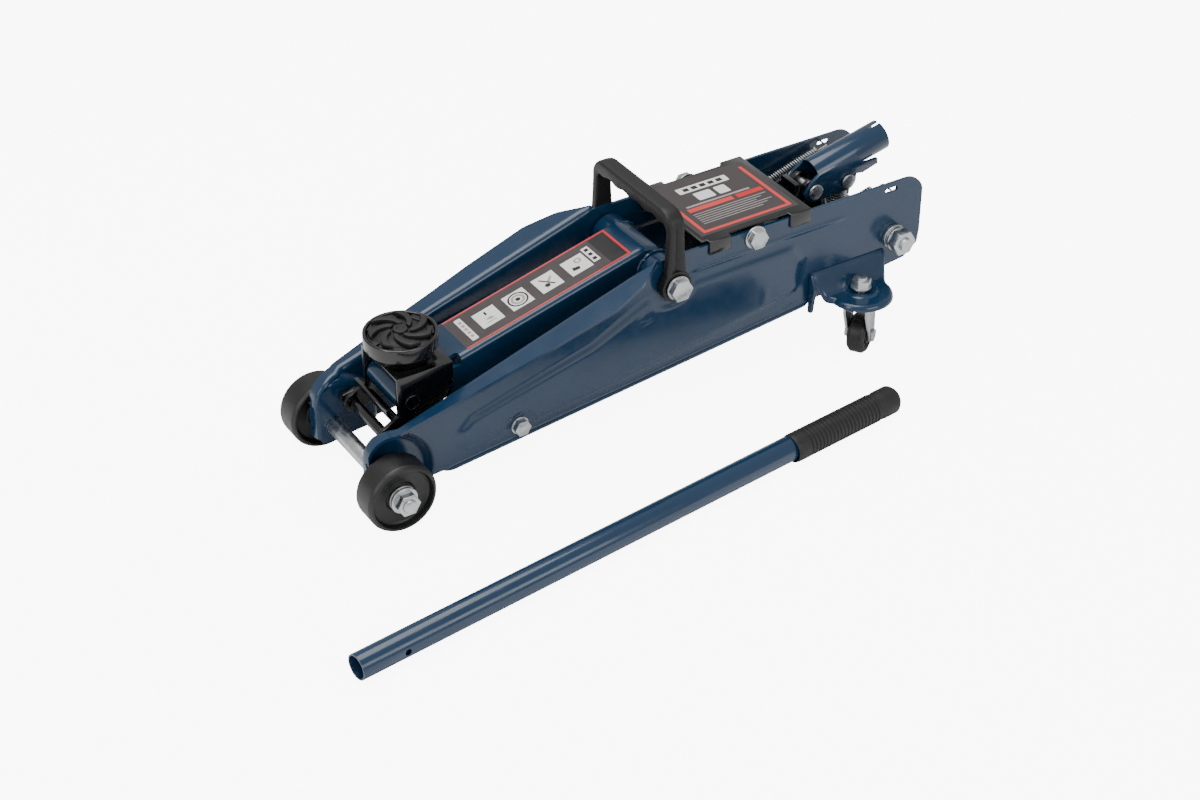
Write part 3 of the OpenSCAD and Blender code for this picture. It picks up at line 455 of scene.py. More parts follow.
def pressed(x, z):
    """How far the web stands out from its flat plane, in mm."""
    out = 2.4 * step((edge_distance(x, z) + 4) / 10)
    out *= step((math.hypot(x - pivot.x, z - pivot.z) - 21) / 6)
    out *= step((math.hypot(x - CROSS_BOLT[0], z - CROSS_BOLT[1]) - 11) / 5)
    # two ridges under the top edge, one before the caster and a ring on the link pin
    if 306 < x < 480:
        out += 0.9 * step(1 - abs(z - 140) / 3) * step((480 - x) / 12) * step((x - 306) / 10)
    out += 0.8 * step(1 - abs(x - 388 - 0.12 * (z - 86)) / 3.5) * step(1 - abs(z - 87) / 17)
    out += 0.5 * step(1 - abs(math.hypot(x - link_pin.x, z - link_pin.z) - 5.2) / 1.1)
    # a low ridge runs along the foot, 12 mm above its edge
    rise = z - plate_foot_at(x)
    out += 0.9 * step(1 - abs(rise - 12) / 7) * step((x - 84) / 16) * step((430 - x) / 14)
    # joggle round the front wheel
    reach = math.hypot(x - axle.x, z - axle.z)
    out -= 8 * (1 - step((reach - 38.5) / 9))
    return out


def plate_top_at(x):
    if x < nose_x + 22:
        return nose_top - 22 + math.sqrt(max(0.0, 22**2 - (nose_x + 22 - x) ** 2))
    if x > rear_x - 20:
        return plate_top - 20 + math.sqrt(max(0.0, 20**2 - (x - rear_x + 20) ** 2))
    return ramp([(nose_x + 22, nose_top), (14, nose_top + 2.5), (slope_end, plate_top), (rear_x, plate_top)],
                x)


def plate_foot_at(x):
    return ramp([(nose_x, 19), (nose_x + 3, 13), (6, 14), (rear_x - 17, 72), (rear_x - 2, 84), (rear_x, 100)],
                x)


places = sorted(set([nose_x + 22 - 22 * math.cos(math.radians(a)) for a in range(0, 91, 9)]
                    + [rear_x - 20 + 20 * math.sin(math.radians(a)) for a in range(0, 91, 10)]
                    + [12 + (2 * k if k < 28 else 56 + 4 * (k - 28)) for k in range(148)] + [rear_x - 2]))
places = [places[0]] + [b for a, b in zip(places, places[1:]) if b - a > 0.35]
WEB_ROWS = 64


def plate_point(side, i, j):
    """Row j across the plate at station i: lip, web, bend and flange."""
    front = 3
    x = places[max(0, i - front)]
    low, high = plate_foot_at(x) + 2.5, plate_top_at(x) - 3
    if high < low + 6:
        high = low + 6
    lip = 2.2 * step((x - 52) / 14) * step((442 - x) / 8)
    out = max(0.0, ramp(flange_out, x) - web_out) if x < 275 else 0.0
    bend = min(3.0, out / 2 + 0.01)
    if j < 4:
        y = web_out + pressed(x, low) + lip * (1 - j / 4)
        z = low + (1.6 * (j / 4) ** 2 if lip > 0.1 else 0.4 * j)
    elif j <= 4 + WEB_ROWS:
        t = (j - 4) / WEB_ROWS
        z = low + 1.6 + (high - bend - low - 1.6) * t
        y = web_out + pressed(x, z)
    else:
        k = j - 4 - WEB_ROWS
        base = web_out + pressed(x, high - bend)
        if k <= 4:
            a = math.pi / 2 * k / 4
            y, z = base + bend * (1 - math.cos(a)), high - bend + bend * math.sin(a)
        else:
            full = max(base + bend, web_out + out)
            y = base + bend + (full - base - bend) * (k - 4) / 4
            z = high
    if i < front:
        # the front edge turns outwards too
        y = y + (3 - i) * 2.6 * step((62 - z) / 14)
    return at(x, side * y, z)


def side_plate(side, name, node):
    made = skin(name, len(places) + 2, 4 + WEB_ROWS + 8, lambda i, j: plate_point(side, i, j))
    close_up(made, merge=2e-5)
    pick(made)
    web = min(made.data.polygons, key=lambda p: (p.center - at(330, side * web_out, 90)).length)
    if web.normal.y * side < 0:
        turn_over(made)
    apply(made, "SOLIDIFY", thickness=0.003, offset=-1, use_even_offset=False)
    hook = plate("hook_slot", rounded([(-7, -2.6), (7, -2.6), (7, 2.6), (-7, 2.6)], 2.5), 30,
                 lambda a, b, h: at(HOOK_SLOT[0] + a, side * (web_out - 15 + h), HOOK_SLOT[1] + b))
    cut(made, hook)
    return hand_over(made, BLUE, "paint_blue", "frame", node, smooth=40)


side_plate(1, "right_side_plate", "side_plate_right")
side_plate(-1, "left_side_plate", "side_plate_left")


# ---------- lift arm ----------

arm_high = mm(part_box("lift_arm")[1])
arm_half = mm(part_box("ram_cross_pin")[1]).y - 3
cap_x = yoke_pin.x + 46
arm_top = [(cap_x - 14, yoke_pin.z + 20), (cap_x, yoke_pin.z + 24), (pivot.x - 8, pivot.z + 24),
           (pivot.x + 4, pivot.z + 20)]
arm_foot = [(cap_x - 14, yoke_pin.z - 11), (pivot.x - 24, pivot.z - 16), (pivot.x + 4, pivot.z - 30)]
ARM_STEPS = 60
WALL, LUG_WALL = 3.6, 3.9
CORNER = 5.5
QUARTER = [math.pi / 2 * k / 6 for k in range(7)]


def arm_point(i, j):
    x = cap_x - 14 + (pivot.x + 4 - cap_x + 14) * i / ARM_STEPS
    top, foot = ramp(arm_top, x), ramp(arm_foot, x)
    r = CORNER
    outer = [(-arm_half, foot)]
    outer += [(-arm_half + r * (1 - math.cos(a)), top - r + r * math.sin(a)) for a in QUARTER]
    outer += [(arm_half - r * (1 - math.sin(a)), top - r + r * math.cos(a)) for a in QUARTER]
    outer += [(arm_half, foot)]
    inner = [(y * (arm_half - WALL) / arm_half, z - WALL * step((z - foot) / (top - foot)))
             for y, z in reversed(outer)]
    loop = outer + inner
    y, z = loop[j % len(loop)]
    return at(x, y, z)


channel = close_up(skin("arm_channel", ARM_STEPS, 32, arm_point), fill=True)
# the front corners of the top are notched for the yoke
for side in (-1, 1):
    cut(channel, plate("notch", rounded([(-24, -9), (9, -9), (9, 9), (-24, 9)], 3), 20,
                       lambda a, b, h: at(cap_x - 4 + a, side * arm_half + b, yoke_pin.z + 17 + h)))
hub_half = arm_high.y
hub_profile = [(10.1, -hub_half, 0.4), (17, -hub_half, 0.8), (17, hub_half, 0.8), (10.1, hub_half, 0.4)]
tube = turned("arm_hub", rounded(hub_profile, 1), at(pivot.x, 0, pivot.z), (0, 1, 0), 56)
boss = turned("arm_boss", rounded([(7.1, -arm_half), (13, -arm_half), (13, arm_half), (7.1, arm_half)], 0.8),
              at(yoke_pin.x, 0, yoke_pin.z), (0, 1, 0), 48)
cheeks = []
for side in (-1, 1):
    shape = rounded([(yoke_pin.x - 9, yoke_pin.z - 11), (yoke_pin.x - 9, yoke_pin.z + 11),
                     (cap_x - 6, yoke_pin.z + 18),
                     (cap_x - 6, yoke_pin.z - 10)], 4)
    cheek = plate("arm_cheek", shape, WALL, lambda a, b, h: at(a, side * (arm_half - WALL + h), b))
    cheeks.append(ease(cheek, 0.5))
    lug = rounded([(pivot.x - 20, pivot.z - 14), (pivot.x + 12, pivot.z - 6), (pivot.x + 35, pivot.z - 36, 8),
                   (pivot.x + 30, pivot.z - 51, 10), (pivot.x + 12, pivot.z - 49, 10)], 3, 6)
    ear = plate("arm_lug", lug, LUG_WALL, lambda a, b, h: at(a, side * (arm_half - LUG_WALL + h), b))
    cheeks.append(ease(ear, 0.5))


def bead(name, path, radius):
    """A weld bead: a lumpy half-sunk cord along a path of mm points."""
    count = len(path)

    def place(i, j):
        p = Vector(path[min(i, count - 1)])
        on = (Vector(path[min(i + 1, count - 1)]) - Vector(path[max(i - 1, 0)])).normalized()
        side = on.orthogonal().normalized()
        up = on.cross(side)
        a = 2 * math.pi * (j % 8) / 8
        r = radius * (1 + 0.16 * math.sin(i * 1.9)) * (0.25 if i in (0, count - 1) else 1)
        return at(*(p + (side * math.cos(a) + up * math.sin(a)) * r))

    return close_up(skin(name, count - 1, 8, place), fill=True)


welds = []
for side in (-1, 1):
    ring = [(pivot.x + 17.4 * math.cos(a), side * (arm_half + 0.6), pivot.z + 17.4 * math.sin(a))
            for a in [math.radians(40 + k * 7) for k in range(22)]]
    welds.append(bead("hub_weld", ring, 2.0))
arm = join("lift_arm_piece", channel, tube, boss, *cheeks, *welds)
hand_over(arm, BLUE, "paint_blue", "lift_arm", "lift_arm", smooth=38)


# ---------- printed labels ----------

# how far each layer of ink lies above the piece it is printed on, in mm
ARM_FILM, ARM_INK, ARM_DETAIL = 0.05, 0.16, 0.21
COVER_FILM, COVER_INK, COVER_DETAIL = 0.0, 0.11, 0.16


def patch(outline, lay, height, ink):
    made = plate("ink", outline, height, lay)
    made.data.materials.append(ink)
    return made


def rect(a, b, c, d, r=0.0):
    return rounded([(a, b), (c, b), (c, d), (a, d)], r, 3) if r else [(a, b), (c, b), (c, d), (a, d)]


def disc(a, b, r, steps=28):
    return [(a + r * math.cos(2 * math.pi * k / steps), b + r * math.sin(2 * math.pi * k / steps))
            for k in range(steps)]


arm_run = Vector((pivot.x - 8 - cap_x, pivot.z - yoke_pin.z))
arm_rise = math.atan2(pivot.z - yoke_pin.z, pivot.x - 8 - cap_x)


def on_arm(lift):
    def lay(a, b, h):
        return at(cap_x + a * math.cos(arm_rise) - (lift + h) * math.sin(arm_rise), -b,
                  yoke_pin.z + 24 + a * math.sin(arm_rise) + (lift + h) * math.cos(arm_rise))
    return lay


arm_len = arm_run.length
first, last = 14.0, arm_len - 14.0
inks = [patch(rect(first, -23, last, 23, 0.8), on_arm(ARM_FILM), 0.12, FILM),
        patch(rect(first, -23, last - 6, -21.4), on_arm(ARM_INK), 0.06, CORAL),
        patch(rect(first, 21.4, last - 6, 23), on_arm(ARM_INK), 0.06, CORAL),
        patch(rect(last - 2.2, -23, last, 23), on_arm(ARM_INK), 0.08, RED),
        patch(rect(last - 30, -23, last, -21.2), on_arm(0.165), 0.08, RED),
        patch(rect(last - 30, 21.2, last, 23), on_arm(0.165), 0.08, RED),
        patch(rect(last - 19, -20.4, last - 2.2, 20.4), on_arm(ARM_INK), 0.05, NIGHT),
        patch(rect(first + 9, -17.5, first + 15.5, 17.5, 1.2), on_arm(ARM_INK), 0.06, WHITE)]
for k in range(5):
    inks.append(patch(rect(first + 10.8, -13 + k * 5.6, first + 13.8, -9.6 + k * 5.6), on_arm(ARM_DETAIL),
                      0.05, GREY))
squares = [first + 24, first + 55, first + 86, first + 117]
for n, a in enumerate(squares):
    inks.append(patch(rect(a, -11.5, a + 22, 11.5), on_arm(ARM_INK), 0.06, WHITE))
    c = a + 11
    if n == 1:
        for r, ink in ((9.6, NIGHT), (7.9, WHITE), (6.6, GREY), (4.2, WHITE), (2.4, NIGHT)):
            inks.append(patch(disc(c, 0, r), on_arm(0.21 + 0.012 * (10 - r)), 0.02, ink))
    elif n == 0:
        inks.append(patch(rect(c - 1, -8, c + 1, -3), on_arm(ARM_DETAIL), 0.05, NIGHT))
        inks.append(patch([(c - 4, 2), (c + 1, 0.6), (c + 5, 3), (c + 1, 4.6)], on_arm(ARM_DETAIL), 0.05,
                          GREY))
        inks.append(patch(rect(c - 5, 6.5, c + 5, 7.7), on_arm(ARM_DETAIL), 0.05, GREY))
    elif n == 2:
        inks.append(patch([(c - 6, -7), (c - 4.6, -7.6), (c + 5, 6), (c + 3.8, 7)], on_arm(ARM_DETAIL), 0.05,
                          NIGHT))
        inks.append(patch(disc(c - 2, 4, 2.6, 16), on_arm(ARM_DETAIL), 0.05, NIGHT))
        inks.append(patch([(c, -1), (c + 6, -6), (c + 7, -4.4), (c + 1.6, 1.4)], on_arm(ARM_DETAIL), 0.05,
                          GREY))
    else:
        inks.append(patch(disc(c + 3.5, -4.5, 3.6, 18), on_arm(ARM_DETAIL), 0.05, GREY))
        inks.append(patch(disc(c + 3.5, -4.5, 1.8, 14), on_arm(0.23), 0.05, WHITE))
        inks.append(patch([(c - 6, 1), (c + 1, 3), (c, 7), (c - 6.5, 5.6)], on_arm(ARM_DETAIL), 0.05, NIGHT))
inks.append(patch(rect(last - 30, -15, last - 23, 9, 0.8), on_arm(ARM_INK), 0.06, WHITE))
for k in range(3):
    inks.append(patch(rect(last - 28.4, -12.5 + 7.4 * k, last - 24.6, -8.5 + 7.4 * k), on_arm(ARM_DETAIL),
                      0.05, NIGHT))
label = join("arm_label_print", *inks)
hand_over(label, None, "label_film", "lift_arm", "arm_label", smooth=20)

label_low, label_high = mm(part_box("cover_label")[0]), mm(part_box("cover_label")[1])


def on_cover(lift):
    return lambda a, b, h: at(label_low.x + a, label_low.y + b, label_low.z + 0.03 + lift + h)


w, d = label_high.x - label_low.x, label_high.y - label_low.y
inks = [patch(rect(0, 0, w, d, 2), on_cover(COVER_FILM), 0.12, FILM)]
# a coral border open along the far side
for a, b, c, e in ((5, 4, w - 5, 7.5), (5, 7.6, 8.5, d - 26), (w - 8.5, 7.6, w - 5, d - 8)):
    inks.append(patch(rect(a, b, c, e), on_cover(COVER_INK), 0.06, CORAL))
# name panel, capacity block and the small print, all as plain bars
inks.append(patch(rect(24, d - 22, 78, d - 12, 1.6), on_cover(COVER_INK), 0.06, WHITE))
for k in range(5):
    inks.append(patch(rect(30 + 9 * k, d - 19.5, 36 + 9 * k, d - 14.5), on_cover(COVER_DETAIL), 0.05, NIGHT))
inks.append(patch(rect(34, d - 39, 52, d - 26, 1.5), on_cover(COVER_INK), 0.06, WHITE))
inks.append(patch(rect(56, d - 39, 68, d - 26, 1.5), on_cover(COVER_INK), 0.06, WHITE))
inks.append(patch(rect(16, d - 45, 84, d - 42.5), on_cover(COVER_INK), 0.05, GREY))
inks.append(patch(rect(14, d - 53, 62, d - 47), on_cover(COVER_INK), 0.06, CORAL))
inks.append(patch(rect(66, d - 53, 94, d - 47), on_cover(COVER_INK), 0.06, RED))
for k in range(6):
    inks.append(patch(rect(14, d - 58 - 3.4 * k, 92 - 7 * (k % 3), d - 57 - 3.4 * k), on_cover(COVER_INK),
                      0.05, GREY))
label = join("cover_label_print", *inks)
hand_over(label, None, "label_film", "frame", "cover_label", smooth=20)


# ---------- saddle ----------

cup_low, cup_high = mm(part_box("saddle_cup")[0]), mm(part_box("saddle_cup")[1])
pad_low, pad_high = mm(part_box("saddle_pad")[0]), mm(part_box("saddle_pad")[1])
sx, sy = (cup_low.x + cup_high.x) / 2, (cup_low.y + cup_high.y) / 2
cup_r, rim_z = (cup_high.x - cup_low.x) / 2, cup_high.z
shelf = pad_low.z
yoke_top = mm(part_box("saddle_yoke")[1]).z
cup_profile = [(0.01, cup_low.z, 0), (9.8, cup_low.z), (9.8, yoke_top), (cup_r - 9, yoke_top + 0.3),
               (cup_r - 6, yoke_top + 7, 3), (cup_r - 0.4, yoke_top + 11, 2), (cup_r, rim_z - 5, 1),
               (cup_r, rim_z, 1.2), (cup_r - 3.2, rim_z, 1.2), (cup_r - 3.6, shelf + 0.2, 1),
               (0.01, shelf - 0.1, 0)]
cup = turned("saddle_cup_piece", rounded(cup_profile, 1.0), at(sx, sy, 0), (0, 0, 1), 96)
hand_over(cup, BLACK, "paint_black", "saddle", "saddle_cup")

pad_r = (pad_high.x - pad_low.x) / 2
base_profile = [(0.01, shelf, 0), (pad_r, shelf, 0.5), (pad_r, rim_z - 4, 1.5), (pad_r - 5, rim_z - 2.5, 2),
                (pad_r - 12, rim_z - 0.6, 2), (9, rim_z - 0.2, 2), (0.01, rim_z - 0.2, 0)]
button_profile = [(0.01, rim_z - 2, 0), (7, rim_z - 2, 0), (6.2, rim_z + 2.7, 1), (3.6, rim_z + 2.8, 0.6),
                  (3.2, rim_z + 2.0, 0.4), (0.01, rim_z + 2.0, 0)]
parts = [turned("pad_base", rounded(base_profile, 1.5), at(sx, sy, 0), (0, 0, 1), 96),
         turned("pad_button", rounded(button_profile, 0.6), at(sx, sy, 0), (0, 0, 1), 40)]
for n in range(7):
    turn = 2 * math.pi * n / 7 + 0.2
    inner, outer = [], []
    for k in range(9):
        t = k / 8
        r = 8.5 + (pad_r - 10) * t
        a = turn + 0.95 * t
        half = (2.3 + 2.6 * t) / r
        inner.append((sx + r * math.cos(a - half), sy + r * math.sin(a - half)))
        outer.append((sx + r * math.cos(a + half), sy + r * math.sin(a + half)))
    vane = plate("pad_vane", inner + outer[::-1], pad_high.z - rim_z + 2.6,
                 lambda a, b, h: at(a, b, rim_z - 2.9 + h))
    parts.append(ease(vane, 0.8, 2))
    a = turn + 0.3
    lug = rounded([(pad_r - 6.5, -5.2), (pad_r - 0.3, -6.2), (pad_r - 0.3, 6.2), (pad_r - 6.5, 5.2)], 1.6)
    c, s = math.cos(a), math.sin(a)
    lug = [(sx + p[0] * c - p[1] * s, sy + p[0] * s + p[1] * c) for p in lug]
    notch = plate("pad_lug", lug, 3.6, lambda a, b, h: at(a, b, rim_z - 4.6 + h))
    parts.append(ease(notch, 0.8, 2))
hand_over(join("saddle_pad_piece", *parts), RUBBER, "pad_rubber", "saddle", "saddle_pad", smooth=40)


# ---------- carry handle ----------

hand_high = mm(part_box("carry_handle")[1])
leg_out = hand_high.y
leg_mid = leg_out - 5.2
bar_z = hand_high.z - 6.5
corner = 13
path = []
for k in range(14):
    path.append((leg_mid, pivot.z + 12 + (bar_z - corner - pivot.z - 12) * k / 13, 0.0))
for k in range(1, 9):
    a = math.pi / 2 * k / 8
    path.append((leg_mid - corner * (1 - math.cos(a)), bar_z - corner + corner * math.sin(a), a))
span = 2 * (leg_mid - corner)
for k in range(1, 49):
    path.append((leg_mid - corner - span * k / 49, bar_z, math.pi / 2))
for k in range(8, 0, -1):
    a = math.pi / 2 * k / 8
    path.append((-leg_mid + corner * (1 - math.cos(a)), bar_z - corner + corner * math.sin(a), math.pi - a))
for k in range(13, -1, -1):
    path.append((-leg_mid, pivot.z + 12 + (bar_z - corner - pivot.z - 12) * k / 13, math.pi))


def handle_point(i, j):
    y, z, turn = path[i]
    flat = math.sin(turn)
    up = min(1.0, max(0.0, (z - pivot.z - 12) / (bar_z - corner - pivot.z - 12)))
    half_w = 8.6 + (1.6 * (1 - up) ** 2 - 0.9 * up) * (1 - flat)
    half_t = 4.9 + 1.5 * flat
    n = 28
    a = 2 * math.pi * (j % n) / n
    c, s = math.cos(a), math.sin(a)
    power = 0.5
    across = half_w * math.copysign(abs(c) ** power, c)
    out = half_t * math.copysign(abs(s) ** power, s)
    if out < 0 and flat > 0.9:
        out -= 1.1 + 1.1 * math.cos(y / (leg_mid - corner) * math.pi * 4)
    if out > 0 and flat < 0.5:
        # the groove down each leg opens out towards the eye
        out -= 2.4 * math.exp(-((across / (4.6 - 3.0 * up)) ** 4))
    return at(pivot.x + across, y + out * math.cos(turn), z + out * math.sin(turn))


grip = close_up(skin("carry_bow", len(path) - 1, 28, handle_point), fill=True)
eyes = []
for side in (-1, 1):
    eye_profile = [(8.1, -4.9), (15, -4.9), (15, 4.9), (11.6, 4.9), (11.2, 3.6), (8.1, 3.6)]
    eyes.append(turned("carry_eye", rounded(eye_profile, 0.9),
                       at(pivot.x, side * leg_mid, pivot.z), (0, side, 0), 56))
hand_over(join("carry_handle_piece", grip, *eyes), POLYPROP, "grip_plastic", "carry_handle", "carry_handle",
          smooth=40)


# ---------- springs ----------

def coil(name, start, end, radius, wire, turns, straight=0.0, hooks=True):
    """A helical spring between two mm points, with its wire run out to each end."""
    a, b = Vector(start), Vector(end)
    on = (b - a).normalized()
    side = on.orthogonal().normalized()
    up = on.cross(side)
    length = (b - a).length
    first, last = (straight * length, length - 12) if hooks else (0, length)
    count = turns * 14
    line = [a + on * 3, a + on * (first * 0.5), a + on * (first - 1)] if hooks else []
    for k in range(count + 1):
        t = 2 * math.pi * k / 14
        on_axis = a + on * (first + (last - first) * k / count)
        line.append(on_axis + (side * math.cos(t) + up * math.sin(t)) * radius)
    if hooks:
        line += [b - on * 11, b - on * 6, b]
    n = len(line)

    def place(i, j):
        p = line[i]
        way = (line[min(i + 1, n - 1)] - line[max(i - 1, 0)]).normalized()
        q = way.cross(Vector((0.31, 0.95, 0.12))).normalized()
        r = q.cross(way)
        t = 2 * math.pi * (j % 7) / 7
        return at(*(p + (q * math.cos(t) + r * math.sin(t)) * wire))

    return close_up(skin(name, n - 1, 7, place), fill=True)


bar_low, bar_high = mm(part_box("spring_bar")[0]), mm(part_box("spring_bar")[1])
bar = Vector(((bar_low.x + bar_high.x) / 2, 0, (bar_low.z + bar_high.z) / 2))
spring_y = web_out - 11
springs = []
for side in (-1, 1):
    hook = (rear_x - 39, side * spring_y, plate_top - 9)
    body_coil = coil("return_coil", (bar.x, side * spring_y, bar.z), hook, 4.6, 0.95, 46, 0.36)
    wire_round = [2 * math.pi * k / 8 for k in range(8)]
    eye = turned("spring_eye", [(4.4 + 0.95 * math.cos(t), 0.95 * math.sin(t)) for t in wire_round],
                 at(bar.x, side * spring_y, bar.z), (0, 1, 0), 32)
    tail = turned("spring_tail", rounded([(0.01, 0), (0.9, 0), (0.9, 13), (0.01, 13)], 0.3), at(*hook),
                  (0, side, 0), 10)
    springs += [body_coil, eye, tail]
springs = join("return_spring_pair", *springs)
hand_over(springs, WIRE, "zinc", None, "return_springs", smooth=60)
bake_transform(springs)

ps_low, ps_high = mm(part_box("plunger_spring")[0]), mm(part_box("plunger_spring")[1])
px, py = (ps_low.x + ps_high.x) / 2, (ps_low.y + ps_high.y) / 2
small = coil("plunger_coil", (px, py, ps_low.z + 1), (px, py, ps_high.z - 1), 8.8, 1.0, 5, hooks=False)
hand_over(small, WIRE, "zinc", None, "plunger_spring", smooth=60)
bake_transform(small)


# ---------- wheels ----------

hub_y = mm(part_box("front_wheel_right")[1]).y
in_y = mm(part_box("front_wheel_right")[0]).y
wheel_r = axle.z
hub_face = in_y + 30.5
for side, name in ((1, "right"), (-1, "left")):
    shape = [(6.1, in_y, 0.3), (10.5, in_y), (10.5, in_y + 8, 1), (15, in_y + 15),
             (wheel_r - 6, in_y + 15, 1.5), (wheel_r - 4.2, in_y + 8.2),
             (wheel_r - 2, in_y + 8, 1.5), (wheel_r, in_y + 11, 3), (wheel_r, hub_y - 3.5, 3),
             (wheel_r - 2, hub_y, 1.6), (wheel_r - 4, hub_y, 1),
             (wheel_r - 5.6, hub_y - 5.5, 1.5), (wheel_r - 7.5, hub_y - 6.5, 1), (14.5, hub_y - 7.5, 1),
             (13, hub_face, 1), (6.1, hub_face, 0.3)]
    made = turned(name + "_front_wheel", rounded(shape, 0.8), at(axle.x, 0, axle.z), (0, side, 0), 96)
    hand_over(made, NYLON, "wheel_plastic", "front_wheel_" + name, "front_wheel_" + name)

for name in ("left", "right"):
    spin = JOINTS["caster_%s_spin" % name]
    turn = next(Vector(j["axis"])
                for j in frame["record"]["behaviour"]["joints"] if j["name"] == "caster_%s_spin" % name)
    r, half = mm(spin).z, 8.5
    shape = [(4.1, -half, 0.2), (9, -half), (9, -half + 2.6), (r - 6, -half + 2.6), (r - 5, -half),
             (r - 3, -half, 1.6), (r, -half + 3, 2.4),
             (r, half - 3, 2.4), (r - 3, half, 1.6), (r - 5, half), (r - 6, half - 2.6), (9, half - 2.6),
             (9, half), (4.1, half, 0.2)]
    made = turned(name + "_caster_wheel", rounded(shape, 0.6), spin, turn, 72)
    hand_over(made, NYLON, "wheel_plastic", "caster_wheel_" + name, "caster_wheel_" + name)


# ---------- caster brackets ----------

def bracket(side, name):
    low, high = mm(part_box("caster_bracket_" + name)[0]), mm(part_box("caster_bracket_" + name)[1])
    king = mm(JOINTS["caster_%s_swivel" % name])
    ky = abs(king.y)
    ear = max(abs(low.y), abs(high.y)) - ky
    top = low.z + 22
    wall = web_out + 0.3
    a0, a1 = low.x, high.x
    outline = []
    for k in range(120):
        a = 2 * math.pi * k / 120
        c, s = math.cos(a), math.sin(a)
        best = 1e9
        # walls of the ear: the circle's own edge outside, tangents to the plate line inside
        if s >= 0:
            best = ear
        else:
            best = (ky - wall) / -s
            end_x = (a1 - king.x) if c > 0 else (king.x - a0)
            slant = Vector((end_x, -(ky - wall)))
            tip = Vector((ear, 0))
            d1, d2 = slant - tip, Vector((abs(c), s))
            den = d2.x * d1.y - d2.y * d1.x
            if abs(den) > 1e-9:
                hit = (tip.x * d1.y - tip.y * d1.x) / den
                if hit > 0:
                    best = min(best, hit)
        outline.append(best)
    rows = 34

    def place(i, j):
        k = i % 120
        a = 2 * math.pi * k / 120
        full = outline[k]
        r = full * (1 - (1 - j / rows) ** 1.35)
        x, y = r * math.cos(a), r * math.sin(a)
        z = top - 1.6
        level = 1 - step(1 - ((ky + y) - wall) / 15)
        z += (1.3 * step((16.5 - r) / 2.5) - 0.7 * step((11.8 - r) / 1.2)) * level
        # the free edge rolls down, and the inner edge climbs the side plate
        inner = (ky + y) - wall
        near_plate = step(1 - inner / 15)
        z += 22 * near_plate**1.25
        edge = full - r
        if edge < 4.5:
            t = 1 - edge / 4.5
            z -= 5.5 * (1 - math.sqrt(max(0.0, 1 - t * t))) * (1 - near_plate)
        return at(king.x + x, side * (ky + y), z)

    made = skin(name + "_bracket_skin", 120, rows, place)
    close_up(made)
    pick(made)
    face = min(made.data.polygons, key=lambda p: (p.center - at(king.x, side * (ky + 18), top)).length)
    if face.normal.z < 0:
        turn_over(made)
    apply(made, "SOLIDIFY", thickness=0.0026, offset=-1)
    shape = rounded([(wall, top - 21), (wall + 5, top - 20), (wall + 9, top + 7), (wall + 3, top + 20),
                     (wall, top + 20)], 1.5)
    gusset = ease(plate("bracket_gusset", shape, 3.4, lambda a, b, h: at(a0 + 0.4 + h, side * a, b)), 0.7)
    return hand_over(join(name + "_bracket", made, gusset), BLUE, "paint_blue", "frame",
                     "caster_bracket_" + name, smooth=45)


bracket(1, "right")
bracket(-1, "left")


# ---------- loose pump handle ----------

grip_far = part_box("handle_grip")[1].x
tube_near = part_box("handle_tube")[0].x
grip_mesh = [Vector(v.co) for v in CAD["handle_grip"].data.vertices]
tube_mesh = [Vector(v.co) for v in CAD["handle_tube"].data.vertices]
mid_of = lambda points: sum(points, Vector()) / len(points)
open_end = mid_of([p for p in tube_mesh if p.x < tube_near + 0.006])
grip_end = mid_of([p for p in grip_mesh if p.x > grip_far - 0.006])
way = (grip_end - open_end).normalized()
grip_start = min((p - open_end).dot(way) for p in grip_mesh) * 1000
whole = max((p - open_end).dot(way) for p in grip_mesh) * 1000
grip_r, tube_r = 13.25, 11.5
ribs = []
count = int((whole - grip_start - 34) / 4.2)
for k in range(count):
    s = grip_start + 12 + 4.2 * k
    ribs += [(grip_r, s, 0.5), (grip_r, s + 2.6, 0.5), (grip_r - 0.9, s + 2.9, 0.3),
             (grip_r - 0.9, s + 3.9, 0.3)]
shape = [(tube_r + 0.06, grip_start, 0.3), (grip_r - 0.6, grip_start, 0.6),
         (grip_r, grip_start + 3, 1)] + ribs
shape += [(grip_r, whole - 20, 1), (grip_r, whole - 5, 4), (grip_r - 4.5, whole, 3), (0.01, whole, 0),
          (0.01, whole - 3, 0),
          (tube_r + 0.06, whole - 3, 0.3)]
grip = turned("pump_handle_grip", rounded(shape, 0.5, 2), open_end, way, 64)
hand_over(grip, RUBBER, "pad_rubber", "pump_handle", "handle_grip", smooth=45)

# ---------- pieces worked up from their CAD nodes ----------

# each node and how far its sharp edges are broken, in mm
EDGES = (
    ("cover_plate", 0.9), ("saddle_yoke", 1.4), ("handle_socket", 0.7), ("axle_nuts", 0.8),
    ("main_bolts", 0.8), ("head_bolts", 0.8), ("tie_nuts", 1.0), ("tie_collars", 0.6),
    ("axle_washers", 0.5), ("cross_bolt", 0.7), ("front_axle", 0.8), ("tie_rod", 0.8),
    ("caster_fork_left", 0.5), ("caster_fork_right", 0.5), ("handle_tube", 0.4), ("socket_pin", 0.6),
    ("socket_roller", 0.6), ("pump_bracket", 0.7), ("link_rods", 0.8), ("release_valve", 0.6),
    ("front_head", 1.2), ("pump_block", 1.4), ("crosshead", 0.8), ("yoke_pivot_pin", 0.8),
    ("filler_plug", 0.6), ("gland_nut", 0.8), ("pump_plunger", 0.6), ("plunger_gland", 0.5),
    ("ram_cross_pin", 0.6), ("link_bar", 0.6), ("axle_sleeve", 0.4), ("cross_sleeve", 0.4),
    ("reservoir_tube", 0.8), ("main_shaft", 0.6), ("link_pivots", 0.5), ("relief_screw", 0.5),
    ("ram", 0.6), ("spring_bar", 0.5),
)
for node, width in EDGES:
    eased_from(node, width)


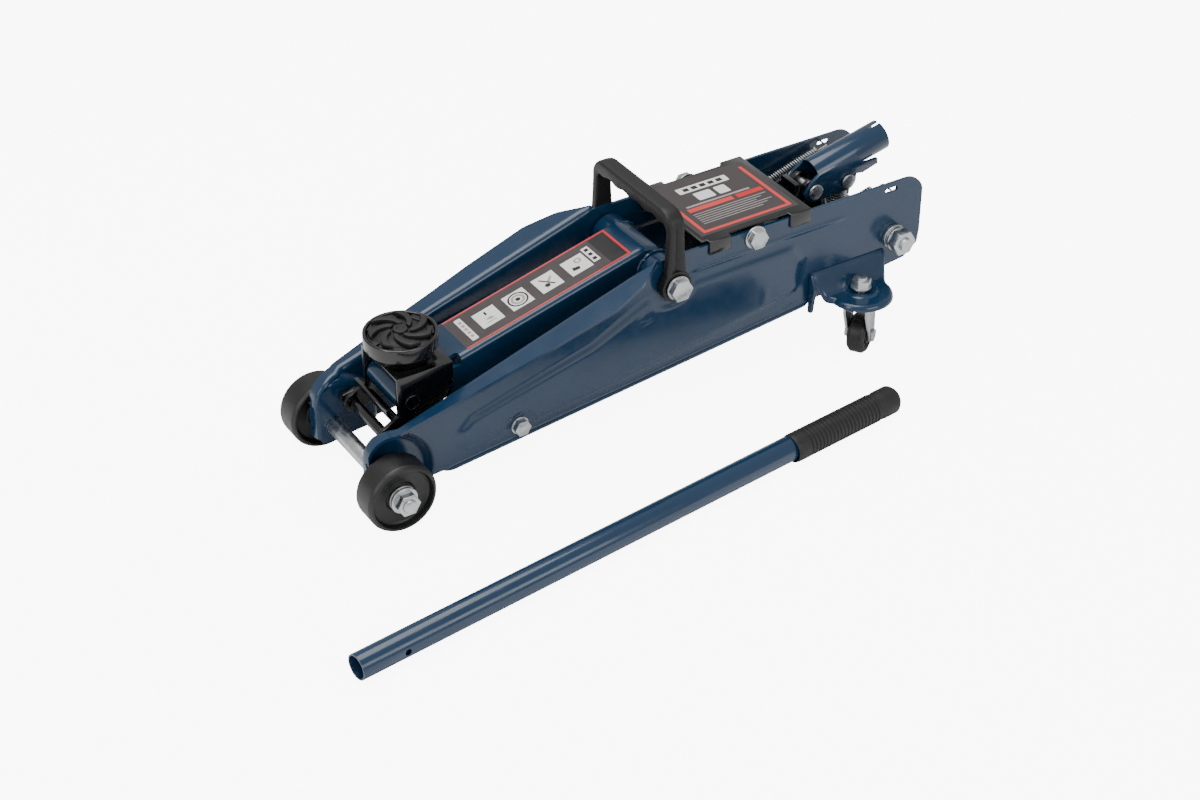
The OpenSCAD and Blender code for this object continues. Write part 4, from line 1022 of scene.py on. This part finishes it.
# ---------- floor, light and camera ----------

bpy.ops.mesh.primitive_plane_add(size=14, location=(0, 0, cad_low.z))
floor = bpy.context.object
floor.name = "studio_floor"
made, tree = blank("pale_matt_floor")
shader = add(tree, "ShaderNodeBsdfPrincipled", None, Base_Color=tone("#FDFDFD"), Roughness=0.9)
# the camera sees the sheet under the object burnt out to white; it lights the object as plain paper
seen = add(tree, "ShaderNodeLightPath").outputs["Is Camera Ray"]
glow = add(tree, "ShaderNodeMath", {"operation": "MULTIPLY"}, _0=seen, _1=8.0)
shader.inputs["Emission Color"].default_value = tone("#FFFFFF")
tree.links.new(glow.outputs[0], shader.inputs["Emission Strength"])
finish_off(tree, shader)
floor.data.materials.append(made)
floor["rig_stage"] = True

world = bpy.data.worlds.new("studio_white")
bpy.context.scene.world = world
world.use_nodes = True
back = world.node_tree.nodes["Background"]
back.inputs["Color"].default_value = tone("#FFFFFF")
back.inputs["Strength"].default_value = 0.62

middle = (cad_low + cad_high) / 2


def lamp(name, place, aim, size, power):
    data = bpy.data.lights.new(name, "AREA")
    data.shape = "RECTANGLE"
    data.size, data.size_y = size
    data.energy = power
    made = bpy.data.objects.new(name, data)
    bpy.context.scene.collection.objects.link(made)
    made.location = place
    made.rotation_mode = "QUATERNION"
    made.rotation_quaternion = (aim - place).to_track_quat("-Z", "Y")
    made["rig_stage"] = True


lamp("overhead_softbox", middle + Vector((-0.2, 0.3, 1.7)), middle, (1.6, 1.2), 26)
lamp("front_softbox", middle + Vector((0.5, -2.0, 1.0)), middle, (1.4, 0.8), 12)
lamp("left_strip", middle + Vector((-2.0, -0.5, 1.1)), middle, (0.5, 1.4), 10)

eye = bpy.data.cameras.new("camera")
eye.lens = 73.97
eye.sensor_width = 36
camera = bpy.data.objects.new("camera", eye)
bpy.context.scene.collection.objects.link(camera)
camera.location = at(-736.1, -1561.7, 1289.5)
az, el = math.radians(-32.21), math.radians(35.12)
look = Vector((math.sin(az) * math.cos(el), -math.cos(az) * math.cos(el), math.sin(el)))
camera.rotation_mode = "QUATERNION"
camera.rotation_quaternion = (-look).to_track_quat("-Z", "Y")
eye.clip_start, eye.clip_end = 0.05, 30
bpy.context.scene.camera = camera

low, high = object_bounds()
